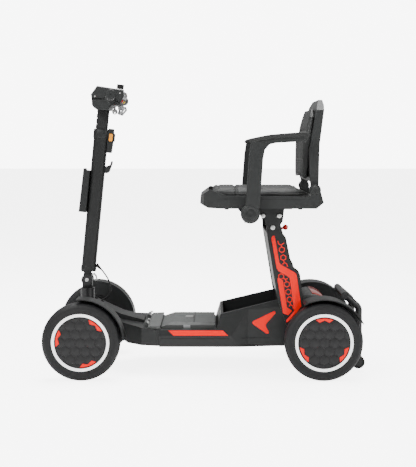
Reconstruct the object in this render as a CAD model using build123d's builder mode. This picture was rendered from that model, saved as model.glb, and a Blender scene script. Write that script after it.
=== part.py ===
from build123d import *

"""Four-wheeled folding mobility scooter, modelled in millimetres.

Frame: +X forward, +Y to the rider's left, +Z up. The origin is on the floor,
under the middle of the machine. Every piece is made in its own function and
written as its own STEP file.
"""

import os
from math import atan2, cos, pi, radians, sin, sqrt, tan

os.makedirs("parts", exist_ok=True)

# ---------------------------------------------------------------- driving sizes
OVERALL_LENGTH = 1010
WHEELBASE = 744
TRACK = 430  # between the middles of the tyres of one axle

RUN_FIT = 0.05  # radial clearance of a shaft in its hole
SIDE_GAP = 0.5  # clearance beside a turning piece
SEAT_FIT = 0.3  # clearance of a soft or dropped-in piece
SKIN = 3  # wall of a moulded cover

# wheels
TYRE_R = 120
TYRE_W = 56
TYRE_SHOULDER = 17
RIM_R = 87
RIM_W = 48
RIM_DISH = 9
CAP_PROUD = 2.5
AXLE_R = 8
AXLE_END = 12  # from the axle's end to the outer face of the rim

# chassis
GROUND_CLEARANCE = 88
DECK_Z = 142
DECK_HALF_W = 150
TAIL_HALF_W = 129
SEAM_X = 150
HINGE_LINE_X = 193
PAN_T = 3
FRONT_DECK_SLOPE = 0.155
CREST_FOOT_X = 272
RAIL_W = 25
RAIL_H = 25
RAIL_Y = 62
RAIL_Z = 114  # underside of the rails
TUB_FRONT_X = -44
TUB_REAR_X = -232
TUB_FRONT_TOP = 191
TUB_REAR_TOP = 238
TUB_FLOOR = 126
TUB_WALL = 6
TAIL_TOP = 196
TAIL_REAR_X = -432

# battery
BATTERY_HALF_W = 108
BATTERY_FRONT_X = 150
BATTERY_REAR_X = -26
BATTERY_TOP = 160
BATTERY_FLOOR = 120
LATCH_X = 56

# steering and tiller
KINGPIN_OFFSET = TYRE_W / 2 + 19  # from the kingpin to the middle of the tyre
KINGPIN_R = 8
STEER_ARM = 50
COLUMN_FORWARD = 5  # column axis ahead of the front axle
COLUMN_R = 23
COLUMN_SHAFT_R = 11
HEAD_TUBE_R = 18
HEAD_TUBE_TOP = 218
TILLER_PIVOT_Z = 285
TILLER_LEAN = 5.9  # degrees, leaning back
TILLER_DEPTH = 46
TILLER_WIDTH = 38
TILLER_TUBE_START = 24
TILLER_TUBE_END = 490
STEM_TOP = 552
STEM_BOTTOM = 330
STEM_DROP = 40  # free depth of the tube under the stem
TILLER_WALL = 3
NOTCH_PITCH = 17
LATCH_BUTTON = (33, 466)  # back from the tiller's axis, and up it
HEAD_HALF_W = 62
BAR_X = 312
BAR_Z = 872
BAR_SWEEP = 6  # degrees, each half swept back
GRIP_R = 15.5
GRIP_START = 118
GRIP_END = 236

HEAD_TOP_SLOPE = 9
DIAL_FOOT = (280, 0, 898)
KEY_AT = (297, 845)
PADDLE_AT = (279, 846)
BUTTON_Y = 34
BUTTON_POCKET = 3.3

# fenders
FENDER_R = 131
FENDER_T = 3

# seat
POST_PIVOT_X = -285
POST_PIVOT_Z = 130
TILT_BOLT_X = -205
TILT_BOLT_Z = 466
POST_OUTER_Y = 150
LEG_W = 17
POST_BAND_HALF_W = 106
KNOB_AT = (-236, 449.5)
KNOB_TILT = 15
SEAT_FRONT_X = 21
SEAT_REAR_X = -352
SEAT_HALF_W = 200
SEAT_BOTTOM = 527
SEAT_RIM = 564
CUSHION_TOP = 584
BACK_HINGE_X = -331
BACK_HINGE_Z = 584
BACK_TOP = 862

# armrests
ARM_X = -132
ARM_Z = 514
ARM_Y = SEAT_HALF_W + 50  # outer face
ARM_T = 18
ARM_PIN_R = 14
ARM_BAR = 18
ARM_TUBE_END = SEAT_HALF_W - 10
KNOB_Y = SEAT_HALF_W - 24

# rear bar and anti-tip wheels
CASTER_R = 21
CASTER_Z = 30
CASTER_Y = 88
CASTER_W = 20
FORK_HEAD = 22.5  # from the caster axle to the fork bridge
BAR_R = 11

# ------------------------------------------------------------- worked-out places
FRONT_AXLE_X = OVERALL_LENGTH / 2 - TYRE_R
REAR_AXLE_X = FRONT_AXLE_X - WHEELBASE
WHEEL_Y = TRACK / 2
KINGPIN_Y = WHEEL_Y - KINGPIN_OFFSET
COLUMN_X = FRONT_AXLE_X + COLUMN_FORWARD
CASTER_X = -OVERALL_LENGTH / 2 + CASTER_R
LEAN = radians(TILLER_LEAN)
FORWARD = (cos(LEAN), 0, sin(LEAN))
UPWARD = (-sin(LEAN), 0, cos(LEAN))
TILLER_PIVOT = (COLUMN_X, 0, TILLER_PIVOT_Z)
TILLER_SIDE = Plane(origin=TILLER_PIVOT, x_dir=FORWARD, z_dir=(0, -1, 0))
POST_LEAN = atan2(TILT_BOLT_X - POST_PIVOT_X, TILT_BOLT_Z - POST_PIVOT_Z)
SIDES = {"left": 1, "right": -1}


def save(part, name):
    """Label a finished piece and write its STEP file."""
    part.label = name
    export_step(part, f"parts/{name}.step")


def side_plane(y):
    """Upright plane across the machine at y: local x is +X, local y is +Z."""
    return Plane(origin=(0, y, 0), x_dir=(1, 0, 0), z_dir=(0, -1, 0))


def tiller_plane(height):
    """Plane square to the tiller, at a distance up it from the fold pivot."""
    x, y, z = TILLER_PIVOT
    origin = (x + UPWARD[0] * height, y, z + UPWARD[2] * height)
    return Plane(origin=origin, x_dir=FORWARD, z_dir=UPWARD)


def rod_between(x, z, y0, y1, radius):
    """Add a round rod along Y from y0 to y1 to the part being built."""
    low, high = sorted((y0, y1))
    with BuildSketch(side_plane(low)) as disc:
        with Locations((x, z)):
            Circle(radius)
    extrude(disc.sketch, amount=-(high - low))


def bore_between(x, z, y0, y1, radius):
    """Cut a round hole along Y from y0 to y1 in the part being built."""
    low, high = sorted((y0, y1))
    with BuildSketch(side_plane(low)) as disc:
        with Locations((x, z)):
            Circle(radius)
    extrude(disc.sketch, amount=-(high - low), mode=Mode.SUBTRACT)


def block(x0, x1, y0, y1, z0, z1, mode=Mode.ADD):
    """Add or cut a box given by its low and high corners."""
    with Locations(((x0 + x1) / 2, (y0 + y1) / 2, (z0 + z1) / 2)):
        Box(abs(x1 - x0), abs(y1 - y0), abs(z1 - z0), mode=mode)


# ---------------------------------------------------------------- wheels
def wheel_section(x, side):
    """Plane through a wheel's axis: local x runs along the axle, local y is up."""
    return Plane(origin=(x, side * WHEEL_Y, TYRE_R), x_dir=(0, side, 0), z_dir=(side, 0, 0))


def make_tyre(x, side):
    """Solid puncture-proof tyre with rounded shoulders."""
    axis = Axis((x, 0, TYRE_R), (0, 1, 0))
    with BuildPart() as tyre:
        with BuildSketch(wheel_section(x, side)) as section:
            with Locations((0, (TYRE_R + RIM_R) / 2)):
                Rectangle(TYRE_W, TYRE_R - RIM_R)
            fillet(section.vertices().group_by(Axis.Y)[-1], TYRE_SHOULDER - 1)
        revolve(axis=axis)
    return tyre.part


def make_hub(x, side, shaft_reach):
    """Moulded rim with its closed outer face, blind bore and inner dish."""
    axis = Axis((x, 0, TYRE_R), (0, 1, 0))
    half = RIM_W / 2
    with BuildPart() as hub:
        with BuildSketch(wheel_section(x, side)):
            with BuildLine():
                Polyline(
                    (-half, 0), (-half, 26), (half - 2 * RIM_DISH, 30),
                    (half - 2 * RIM_DISH, RIM_R - 14), (-half, RIM_R - 7), (-half, RIM_R),
                    (half, RIM_R), (half + CAP_PROUD, RIM_R - 5), (half + CAP_PROUD, 0), (-half, 0),
                )
            make_face()
        revolve(axis=axis)
        outer = side * (WHEEL_Y + half - AXLE_END)
        bore_between(x, TYRE_R, side * shaft_reach, outer + side, AXLE_R + RUN_FIT)
    return hub.part


def make_rear_hub(side, axle_end):
    """Rear rim with the half shaft that drives it, out of the axle tube."""
    with BuildPart() as hub:
        add(make_hub(REAR_AXLE_X, side, WHEEL_Y - RIM_W / 2 - 1))
        rod_between(REAR_AXLE_X, TYRE_R, side * 1, side * (axle_end + 1), AXLE_R)
        rod_between(REAR_AXLE_X, TYRE_R, side * 166, side * (axle_end + 1), AXLE_R + 1)
    return hub.part


# ---------------------------------------------------------------- chassis
def make_main_frame():
    """Welded frame: rails, cross members, axle beam with yokes, head tube and kingpins."""
    rail_front = FRONT_AXLE_X - 12
    rail_rear = TAIL_REAR_X + 20
    top = RAIL_Z + RAIL_H
    yoke_low, yoke_high, yoke_t = 98, 152, 6
    yoke_x = 11.5
    web_y = KINGPIN_Y - 26
    with BuildPart() as frame:
        for side in SIDES.values():
            low, high = sorted((side * (RAIL_Y - RAIL_W / 2), side * (RAIL_Y + RAIL_W / 2)))
            block(BATTERY_FRONT_X + 10, rail_front, low, high, RAIL_Z, top)
            block(rail_rear, BATTERY_FRONT_X + 11, low, high, GROUND_CLEARANCE + PAN_T, BATTERY_FLOOR - 6)
        low_top = BATTERY_FLOOR - 6
        cross = RAIL_Y + RAIL_W / 2
        block(BATTERY_FRONT_X + 5, BATTERY_FRONT_X + 25, -cross, cross, GROUND_CLEARANCE + PAN_T, top)
        for x in (TUB_FRONT_X - 20, TUB_REAR_X + 30):
            block(x, x + 20, -RAIL_Y, RAIL_Y, GROUND_CLEARANCE + PAN_T, low_top)
        block(FRONT_AXLE_X - 15, FRONT_AXLE_X + 15, -web_y, web_y, 110, 136)
        with BuildSketch(Plane.XY.offset(110)):
            with Locations((COLUMN_X, 0)):
                Circle(HEAD_TUBE_R + 4)
        extrude(amount=HEAD_TUBE_TOP - 110)
        for side in SIDES.values():
            low, high = sorted((side * (web_y - 6), side * web_y))
            block(FRONT_AXLE_X - yoke_x, FRONT_AXLE_X + yoke_x, low, high, yoke_low, yoke_high)
            for z in (yoke_low, yoke_high - yoke_t):
                low, high = sorted((side * (web_y - 6), side * KINGPIN_Y))
                block(FRONT_AXLE_X - yoke_x, FRONT_AXLE_X + yoke_x, low, high, z, z + yoke_t)
                with BuildSketch(Plane.XY.offset(z)):
                    with Locations((FRONT_AXLE_X, side * KINGPIN_Y)):
                        Circle(yoke_x)
                extrude(amount=yoke_t)
            with BuildSketch(Plane.XY.offset(yoke_low)):
                with Locations((FRONT_AXLE_X, side * KINGPIN_Y)):
                    Circle(KINGPIN_R)
            extrude(amount=yoke_high - yoke_low)
        with BuildSketch(Plane.XY.offset(109)):
            with Locations((COLUMN_X, 0)):
                Circle(COLUMN_SHAFT_R + RUN_FIT)
        extrude(amount=HEAD_TUBE_TOP, mode=Mode.SUBTRACT)
        for side in SIDES.values():
            block(REAR_AXLE_X - 22, REAR_AXLE_X + 22, side * 70 - 5, side * 70 + 5, low_top, 150)
        bore_between(REAR_AXLE_X, TYRE_R, -80, 80, 18 + RUN_FIT)
        block(REAR_AXLE_X - 28, REAR_AXLE_X + 28, -19, 19, GROUND_CLEARANCE, low_top + 1, Mode.SUBTRACT)
    return frame.part


def make_rear_body():
    """Moulded main cover with the open tub, the battery bay and the tail."""
    nose_x = BATTERY_REAR_X - 4
    with BuildPart() as body:
        with BuildSketch(side_plane(-DECK_HALF_W)):
            with BuildLine():
                Polyline(
                    (SEAM_X, GROUND_CLEARANCE), (SEAM_X, DECK_Z), (nose_x, DECK_Z),
                    (TUB_FRONT_X, TUB_FRONT_TOP), (TUB_REAR_X, TUB_REAR_TOP),
                    (TUB_REAR_X - 12, TUB_REAR_TOP), (TUB_REAR_X - 40, TAIL_TOP),
                    (TAIL_REAR_X + 24, TAIL_TOP), (TAIL_REAR_X, TAIL_TOP - 40),
                    (TAIL_REAR_X, GROUND_CLEARANCE + 20), (TAIL_REAR_X + 24, GROUND_CLEARANCE),
                    close=True,
                )
            make_face()
        extrude(amount=-2 * DECK_HALF_W)
        with BuildSketch(Plane.XY.offset(GROUND_CLEARANCE)):
            with BuildLine():
                points = [
                    (SEAM_X, DECK_HALF_W), (TUB_FRONT_X - 34, DECK_HALF_W),
                    (TUB_FRONT_X - 86, TAIL_HALF_W + 2), (TUB_REAR_X + 8, TAIL_HALF_W),
                    (TAIL_REAR_X, TAIL_HALF_W),
                ]
                Polyline(*points, *[(x, -y) for x, y in reversed(points)], close=True)
            make_face()
        extrude(amount=TUB_REAR_TOP, mode=Mode.INTERSECT)
        with BuildSketch(Plane.YZ.offset(TAIL_REAR_X)):
            with BuildLine():
                points = [
                    (DECK_HALF_W - 6, GROUND_CLEARANCE), (DECK_HALF_W, GROUND_CLEARANCE + 36),
                    (DECK_HALF_W - 4, DECK_Z), (TAIL_HALF_W - 6, TUB_REAR_TOP),
                ]
                Polyline(*points, *[(-y, z) for y, z in reversed(points)], close=True)
            make_face()
        extrude(amount=OVERALL_LENGTH, mode=Mode.INTERSECT)
        inner = TAIL_HALF_W - TUB_WALL - 6
        with BuildSketch(side_plane(-inner)):
            with BuildLine():
                Polyline(
                    (TUB_FRONT_X - TUB_WALL, TUB_FLOOR), (TUB_FRONT_X - TUB_WALL - 6, 300),
                    (TUB_REAR_X + 4, 300), (TUB_REAR_X + 4, TUB_FLOOR + 30),
                    (TUB_REAR_X + 34, TUB_FLOOR), close=True,
                )
            make_face()
        extrude(amount=-2 * inner, mode=Mode.SUBTRACT)
        fit = BATTERY_HALF_W + SEAT_FIT
        block(BATTERY_REAR_X - 0.5, BATTERY_FRONT_X - 4, -fit, fit, BATTERY_FLOOR, 300, Mode.SUBTRACT)
        under = GROUND_CLEARANCE + PAN_T
        inside = TAIL_HALF_W - 8
        floor = BATTERY_FLOOR - SKIN
        block(SEAM_X - 2 * SKIN, TUB_REAR_X, -inside, inside, 0, floor, Mode.SUBTRACT)
        block(TUB_REAR_X + 1, TAIL_REAR_X + 2 * SKIN, -inside, inside, 0, TAIL_TOP - SKIN, Mode.SUBTRACT)
        block(SEAM_X + 1, TAIL_REAR_X - 1, -DECK_HALF_W, DECK_HALF_W, 0, under, Mode.SUBTRACT)
        bore_between(REAR_AXLE_X, TYRE_R, -DECK_HALF_W, DECK_HALF_W, 19)
        block(SEAM_X - 8, SEAM_X + 1, -RAIL_Y - 13, RAIL_Y + 13, 0, BATTERY_FLOOR, Mode.SUBTRACT)
        for side in SIDES.values():
            block(TAIL_REAR_X - 1, TAIL_REAR_X + 8, side * CASTER_Y - 10, side * CASTER_Y + 10,
                  104, 126, Mode.SUBTRACT)
    return body.part


def make_belly_pan():
    """Flat pan that closes the main cover from below."""
    with BuildPart() as pan:
        with BuildSketch(Plane.XY.offset(GROUND_CLEARANCE)):
            with BuildLine():
                points = [
                    (SEAM_X, DECK_HALF_W - 8), (TUB_FRONT_X - 60, DECK_HALF_W - 8),
                    (TUB_REAR_X + 8, TAIL_HALF_W - 6), (TAIL_REAR_X + 24, TAIL_HALF_W - 6),
                ]
                Polyline(*points, *[(x, -y) for x, y in reversed(points)], close=True)
            make_face()
        extrude(amount=PAN_T)
        fillet(pan.edges().filter_by(Axis.Z), 5)
    return pan.part


def make_front_body():
    """Moulded front deck that climbs from the seam to the steering column."""
    crest_x = COLUMN_X - COLUMN_R - 3
    spine_x = HINGE_LINE_X + 10
    with BuildPart() as cover:
        with BuildSketch(side_plane(-DECK_HALF_W)):
            with BuildLine():
                Polyline(
                    (SEAM_X + 0.5, GROUND_CLEARANCE + 4), (SEAM_X + 0.5, DECK_Z - 1), (CREST_FOOT_X, front_deck_z(CREST_FOOT_X)),
                    (crest_x - 8, 210), (crest_x - 8, 144), (300, 122), (250, GROUND_CLEARANCE + 8),
                    close=True,
                )
            make_face()
        extrude(amount=-2 * DECK_HALF_W)
        with BuildSketch(Plane.XY):
            with BuildLine():
                points = [
                    (SEAM_X + 0.5, DECK_HALF_W - 1), (205, DECK_HALF_W - 4), (262, 106),
                    (300, 82), (crest_x - 8, 40),
                ]
                Polyline(*points, *[(x, -y) for x, y in reversed(points)], close=True)
            make_face()
        extrude(amount=300, mode=Mode.INTERSECT)
        with BuildSketch(side_plane(-46)):
            with BuildLine():
                Polyline(
                    (spine_x, 130), (spine_x, DECK_Z + 16), (CREST_FOOT_X + 4, 177), (crest_x - 3, 216),
                    (crest_x - 3, 144), (300, 122), close=True,
                )
            make_face()
        extrude(amount=-92)
        rail = RAIL_Y + RAIL_W / 2 + 1
        with BuildSketch(side_plane(-rail)):
            with BuildLine():
                Polyline(
                    (SEAM_X, 0), (SEAM_X, RAIL_Z + RAIL_H + 0.5), (400, RAIL_Z + RAIL_H + 0.5),
                    (400, 0), close=True,
                )
            make_face()
        extrude(amount=-2 * rail, mode=Mode.SUBTRACT)
    return cover.part


def front_deck_z(x):
    """Height of the front deck beside its spine."""
    return DECK_Z - 1 + (x - SEAM_X) * FRONT_DECK_SLOPE


def make_deck_strip():
    """Grey cover strip over the chassis joint, with its two hinge barrels."""
    barrel_r, barrel_l, barrel_y, thick = 6, 56, 78, 5
    front_x = HINGE_LINE_X - 8
    half = DECK_HALF_W - 14
    lift = thick + 0.3
    with BuildPart() as strip:
        with BuildSketch(side_plane(-half)):
            with BuildLine():
                Polyline(
                    (SEAM_X - 3.5, DECK_Z + 0.3), (SEAM_X, DECK_Z + 0.3),
                    (front_x, front_deck_z(front_x) + 0.3), (front_x, front_deck_z(front_x) + lift),
                    (SEAM_X - 3.5, DECK_Z + lift + 6), close=True,
                )
            make_face()
        extrude(amount=-2 * half)
        for side in SIDES.values():
            low = side * barrel_y - barrel_l / 2
            z = front_deck_z(HINGE_LINE_X) + 0.5
            block(front_x - 1, HINGE_LINE_X, low, low + barrel_l, z, z + thick)
            rod_between(HINGE_LINE_X, z + barrel_r, low, low + barrel_l, barrel_r)
    return strip.part


def make_transaxle():
    """Gearmotor with its axle tube across the tail."""
    with BuildPart() as drive:
        rod_between(REAR_AXLE_X, TYRE_R, -164, 164, 18)
        rod_between(REAR_AXLE_X, TYRE_R, -18, 18, 27)
        rod_between(REAR_AXLE_X - 38, TYRE_R + 38, -58, 56, 23)
        block(REAR_AXLE_X - 40, REAR_AXLE_X + 4, -14, 14, TYRE_R, TYRE_R + 50)
        bore_between(REAR_AXLE_X, TYRE_R, -170, 170, AXLE_R + RUN_FIT)
    return drive.part


def make_controller():
    """Motor controller: a finned metal box on the frame's rails behind the tub."""
    x0 = TUB_REAR_X - 62
    with BuildPart() as box:
        block(x0, x0 + 48, -66, 66, BATTERY_FLOOR - 6, BATTERY_FLOOR + 24)
        for step in range(-5, 6):
            block(x0 + 3, x0 + 45, step * 11 - 1.5, step * 11 + 1.5, BATTERY_FLOOR + 23, BATTERY_FLOOR + 32)
    return box.part


def make_motor_cover():
    """Rounded grey cover on the tail, with an open back for the lamp band."""
    x, z, radius = REAR_AXLE_X + 25, TAIL_TOP - 4, 56
    with BuildPart() as cover:
        rod_between(x, z, -92, 92, radius)
        block(x - 100, x + 100, -100, 100, z - 100, TAIL_TOP, Mode.SUBTRACT)
        fillet(cover.edges().filter_by(GeomType.CIRCLE), 8)
        with BuildSketch(side_plane(-92 + SKIN)):
            with Locations((x, z)):
                Circle(radius - SKIN)
        extrude(amount=-2 * (92 - SKIN), mode=Mode.SUBTRACT)
    return cover.part


def add_fender(x, side, start, sweep, web_y, foot_angle):
    """Add one fender to the part being built: curved strip, inner web and its foot."""
    inner_y, outer_y = web_y, side * (WHEEL_Y + TYRE_W / 2 + 1)
    low, high = sorted((inner_y, outer_y))

    def ring_sector(r0, r1, y0, y1):
        with BuildSketch(side_plane(y0)) as sector:
            with BuildLine():
                a0, a1 = radians(start), radians(start + sweep)
                CenterArc((x, TYRE_R), r0, start, sweep)
                CenterArc((x, TYRE_R), r1, start, sweep)
                for a in (a0, a1):
                    Line((x + r0 * cos(a), TYRE_R + r0 * sin(a)), (x + r1 * cos(a), TYRE_R + r1 * sin(a)))
            make_face()
        extrude(sector.sketch, amount=-(y1 - y0))

    ring_sector(FENDER_R, FENDER_R + FENDER_T, low, high)
    web_low, web_high = sorted((web_y, web_y + side * 2.5))
    ring_sector(FENDER_R - 44, FENDER_R + FENDER_T, web_low, web_high)
    a = radians(foot_angle)
    with BuildSketch(side_plane(web_low)) as foot:
        with Locations((x, TYRE_R)):
            Circle(26)
            with Locations(Location((0, 0), foot_angle)):
                with Locations((FENDER_R / 2, 0)):
                    Rectangle(FENDER_R - 20, 34)
            Circle(18 + RUN_FIT, mode=Mode.SUBTRACT)
    extrude(foot.sketch, amount=-(web_high - web_low))


def make_rear_fenders():
    """Both rear fenders, carried by their webs on the ends of the axle tube."""
    with BuildPart() as fenders:
        for side in SIDES.values():
            add_fender(REAR_AXLE_X, side, 62, 92, side * 158, 110)
    return fenders.part


def make_front_fender(side):
    """Fender that turns with its wheel, carried by the knuckle's boss."""
    with BuildPart() as fender:
        add_fender(FRONT_AXLE_X, side, 85, 92, side * (KINGPIN_Y + 14), 130)
    return fender.part


def make_rear_bar():
    """Bent carrying bar behind the tail, with stubs to the cover and caster forks."""
    bend_z, top_x, top_z = 206, -438, 246
    arm = sqrt((CASTER_X - top_x) ** 2 + (top_z - bend_z) ** 2)
    turn = atan2(top_z - bend_z, top_x - CASTER_X)
    with BuildPart() as bar:
        for side in SIDES.values():
            y = side * CASTER_Y
            with BuildLine() as path:
                FilletPolyline((CASTER_X, y, CASTER_Z + 24), (CASTER_X, y, bend_z), (top_x, y, top_z), radius=24)
            with BuildSketch(Plane(origin=(CASTER_X, y, CASTER_Z + 24), z_dir=(0, 0, 1))):
                Circle(BAR_R)
            sweep(path=path.line)
            low = y - 8
            block(CASTER_X + 2, TAIL_REAR_X + 5.5, low, low + 16, 106, 124)
            for ear in (-1, 1):
                ear_low = y + ear * (CASTER_W / 2 + 2.5) - 1.5
                block(CASTER_X - 8, CASTER_X + 8, ear_low, ear_low + 3, CASTER_Z, CASTER_Z + 28)
                with BuildSketch(side_plane(ear_low)):
                    with Locations((CASTER_X, CASTER_Z)):
                        Circle(8)
                extrude(amount=-3)
            block(CASTER_X - 9, CASTER_X + 9, y - 14, y + 14, CASTER_Z + FORK_HEAD, CASTER_Z + 29)
            rod_between(CASTER_X, CASTER_Z, y - 15, y + 15, 4)
        rod_between(top_x, top_z, -CASTER_Y - BAR_R, CASTER_Y + BAR_R, BAR_R)
    return bar.part


def make_caster(side):
    """Small anti-tip wheel with a moulded hub."""
    y = side * CASTER_Y
    with BuildPart() as caster:
        rod_between(CASTER_X, CASTER_Z, y - CASTER_W / 2, y + CASTER_W / 2, CASTER_R)
        fillet(caster.edges(), 4)
        bore_between(CASTER_X, CASTER_Z, y - CASTER_W, y + CASTER_W, 4 + RUN_FIT)
    return caster.part


# ---------------------------------------------------------------- battery
def make_battery_case():
    """Battery pack shell: faceted hump with a closed top and a hollow inside."""
    with BuildPart() as case:
        with BuildSketch(side_plane(-BATTERY_HALF_W)):
            with BuildLine():
                Polyline(
                    (BATTERY_FRONT_X - 5, BATTERY_FLOOR + 0.3), (BATTERY_FRONT_X - 5, DECK_Z + 4),
                    (BATTERY_FRONT_X - 42, BATTERY_TOP), (BATTERY_REAR_X, BATTERY_TOP),
                    (BATTERY_REAR_X, BATTERY_FLOOR + 0.3), close=True,
                )
            make_face()
        extrude(amount=-2 * BATTERY_HALF_W)
        chamfer(case.edges().filter_by(Axis.X).group_by(Axis.Z)[-1], 8)
        x0, x1 = BATTERY_REAR_X + SKIN, BATTERY_FRONT_X - 44
        wide = BATTERY_HALF_W - 9
        block(x0, x1, -wide, wide, BATTERY_FLOOR + 4, BATTERY_TOP - 4, Mode.SUBTRACT)
        block(LATCH_X - 13.5, LATCH_X + 13.5, -16.5, 16.5, BATTERY_TOP - 2, BATTERY_TOP + 1, Mode.SUBTRACT)
    return case.part


def make_battery_cells():
    """Cell block inside the case."""
    x0, x1 = BATTERY_REAR_X + SKIN + 1, BATTERY_FRONT_X - 46
    rows, columns = 8, 5
    pitch_y = 2 * (BATTERY_HALF_W - 11) / rows
    pitch_x = (x1 - x0) / columns
    with BuildPart() as cells:
        block(x0, x1, -BATTERY_HALF_W + 11, BATTERY_HALF_W - 11, BATTERY_FLOOR + 4, BATTERY_FLOOR + 14)
        with BuildSketch(Plane.XY.offset(BATTERY_FLOOR + 13)):
            with Locations(((x0 + x1) / 2, 0)):
                with GridLocations(pitch_x, pitch_y, columns, rows):
                    Circle(min(pitch_x, pitch_y) / 2 - 1)
        extrude(amount=BATTERY_TOP - 6 - BATTERY_FLOOR - 13)
    return cells.part


def make_battery_latch():
    """Folding latch plate and pull in the top of the battery."""
    with BuildPart() as latch:
        block(LATCH_X - 12, LATCH_X + 12, -15, 15, BATTERY_TOP - 1.7, BATTERY_TOP + 2.5)
        fillet(latch.edges().filter_by(Axis.Z), 3)
        block(LATCH_X - 9, LATCH_X + 9, -17, -14.9, BATTERY_TOP + 0.3, BATTERY_TOP + 2.5)
        rod_between(LATCH_X + 12, BATTERY_TOP + 1.3, -15, 15, 1.2)
    return latch.part


# ---------------------------------------------------------------- steering
def make_steering_column():
    """Column sleeve, shaft through the head tube, pivot eye and pitman arm."""
    eye_half, eye_r = 10, 16
    with BuildPart() as column:
        with BuildSketch(Plane.XY.offset(HEAD_TUBE_TOP + SIDE_GAP)):
            with Locations((COLUMN_X, 0)):
                Circle(COLUMN_R)
        extrude(amount=TILLER_PIVOT_Z - 28 - HEAD_TUBE_TOP - SIDE_GAP)
        with BuildSketch(Plane.XY.offset(88)):
            with Locations((COLUMN_X, 0)):
                Circle(COLUMN_SHAFT_R)
        extrude(amount=HEAD_TUBE_TOP + 10 - 88)
        with BuildSketch(side_plane(-eye_half)):
            with Locations((COLUMN_X, TILLER_PIVOT_Z)):
                Circle(eye_r)
            with Locations((COLUMN_X, TILLER_PIVOT_Z - 16)):
                Rectangle(2 * eye_r, 32)
        extrude(amount=-2 * eye_half)
        bore_between(COLUMN_X, TILLER_PIVOT_Z, -20, 20, 6 + RUN_FIT)
        block(COLUMN_X - STEER_ARM, COLUMN_X, -9, 9, 92, 99.5)
        with BuildSketch(Plane.XY.offset(92)):
            with Locations((COLUMN_X - STEER_ARM, 0)):
                Circle(9)
        extrude(amount=7.5)
        with BuildSketch(Plane.XY.offset(92)):
            with Locations((COLUMN_X - STEER_ARM, 0)):
                Circle(4)
        extrude(amount=19)
    return column.part


def make_tie_rod():
    """Steering link from the pitman arm to both knuckle arms."""
    eye_r = 9
    joints = [(COLUMN_X - STEER_ARM, 0)]
    joints += [(FRONT_AXLE_X - STEER_ARM, side * KINGPIN_Y) for side in SIDES.values()]
    with BuildPart() as rod:
        for x, y in joints:
            with BuildSketch(Plane.XY.offset(102)):
                with Locations((x, y)):
                    Circle(eye_r)
            extrude(amount=8)
        block(FRONT_AXLE_X - STEER_ARM - 5, FRONT_AXLE_X - STEER_ARM + 7, -KINGPIN_Y, KINGPIN_Y, 102, 110)
        for x, y in joints:
            with BuildSketch(Plane.XY.offset(101)):
                with Locations((x, y)):
                    Circle((4 if y == 0 else 4.5) + RUN_FIT)
            extrude(amount=10, mode=Mode.SUBTRACT)
    return rod.part


def make_knuckle(side):
    """Knuckle on its kingpin, with the stub axle and the steering arm."""
    y = side * KINGPIN_Y
    with BuildPart() as knuckle:
        with BuildSketch(Plane.XY.offset(104 + SIDE_GAP)):
            with Locations((FRONT_AXLE_X, y)):
                Circle(12.5)
        extrude(amount=42 - 2 * SIDE_GAP)
        rod_between(FRONT_AXLE_X, TYRE_R, y, side * (KINGPIN_Y + 20), 10.5)
        rod_between(FRONT_AXLE_X, TYRE_R, y, side * (WHEEL_Y + RIM_W / 2 - AXLE_END), AXLE_R)
        block(FRONT_AXLE_X - STEER_ARM, FRONT_AXLE_X, y - 8, y + 8, 112, 120)
        with BuildSketch(Plane.XY.offset(100)):
            with Locations((FRONT_AXLE_X - STEER_ARM, y)):
                Circle(4.5)
        extrude(amount=14)
        with BuildSketch(Plane.XY.offset(112)):
            with Locations((FRONT_AXLE_X - STEER_ARM, y)):
                Circle(8)
        extrude(amount=8)
        with BuildSketch(Plane.XY.offset(100)):
            with Locations((FRONT_AXLE_X, y)):
                Circle(KINGPIN_R + RUN_FIT)
        extrude(amount=50, mode=Mode.SUBTRACT)
    return knuckle.part


# ---------------------------------------------------------------- tiller
def make_tiller_tube():
    """Outer tiller tube with the fork that folds on the column's eye."""
    ear_in, ear_out, ear_r = 10 + SIDE_GAP, 18, 17
    tongue_low, tongue_high = 19, TILLER_TUBE_START + 6
    with BuildPart() as tiller:
        with BuildSketch(tiller_plane(TILLER_TUBE_START)):
            RectangleRounded(TILLER_DEPTH, TILLER_WIDTH, 16)
        extrude(amount=TILLER_TUBE_END - TILLER_TUBE_START)
        with BuildSketch(tiller_plane(STEM_BOTTOM - STEM_DROP)):
            RectangleRounded(TILLER_DEPTH - 2 * TILLER_WALL, TILLER_WIDTH - 2 * TILLER_WALL, 13)
        extrude(amount=TILLER_TUBE_END - STEM_BOTTOM + STEM_DROP + 10, mode=Mode.SUBTRACT)
        with BuildSketch(tiller_plane(tongue_low)):
            Rectangle(26, 2 * ear_out)
        extrude(amount=tongue_high - tongue_low)
        for side in SIDES.values():
            low, high = sorted((side * ear_in, side * ear_out))
            with BuildSketch(Plane(origin=(TILLER_PIVOT[0], low, TILLER_PIVOT[2]), x_dir=FORWARD,
                                   z_dir=(0, -1, 0))):
                Circle(ear_r)
                with Locations((0, tongue_low / 2 + 1)):
                    Rectangle(26, tongue_low + 2)
            extrude(amount=-(high - low))
        bore_between(COLUMN_X, TILLER_PIVOT_Z, -30, 30, 6)
        with BuildSketch(TILLER_SIDE):
            with BuildLine():
                Polyline((-24, 20), (-24, 44), (-8, 20), close=True)
            make_face()
        extrude(amount=40, both=True, mode=Mode.SUBTRACT)
    return tiller.part


def make_fold_bolt():
    """Pivot bolt of the tiller fold, with a broad head at each end."""
    with BuildPart() as bolt:
        rod_between(COLUMN_X, TILLER_PIVOT_Z, -18, 18, 6)
        for side in SIDES.values():
            rod_between(COLUMN_X, TILLER_PIVOT_Z, side * 18, side * 24, 18)
            bore_between(COLUMN_X, TILLER_PIVOT_Z, side * 22, side * 25, 6)
    return bolt.part


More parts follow.
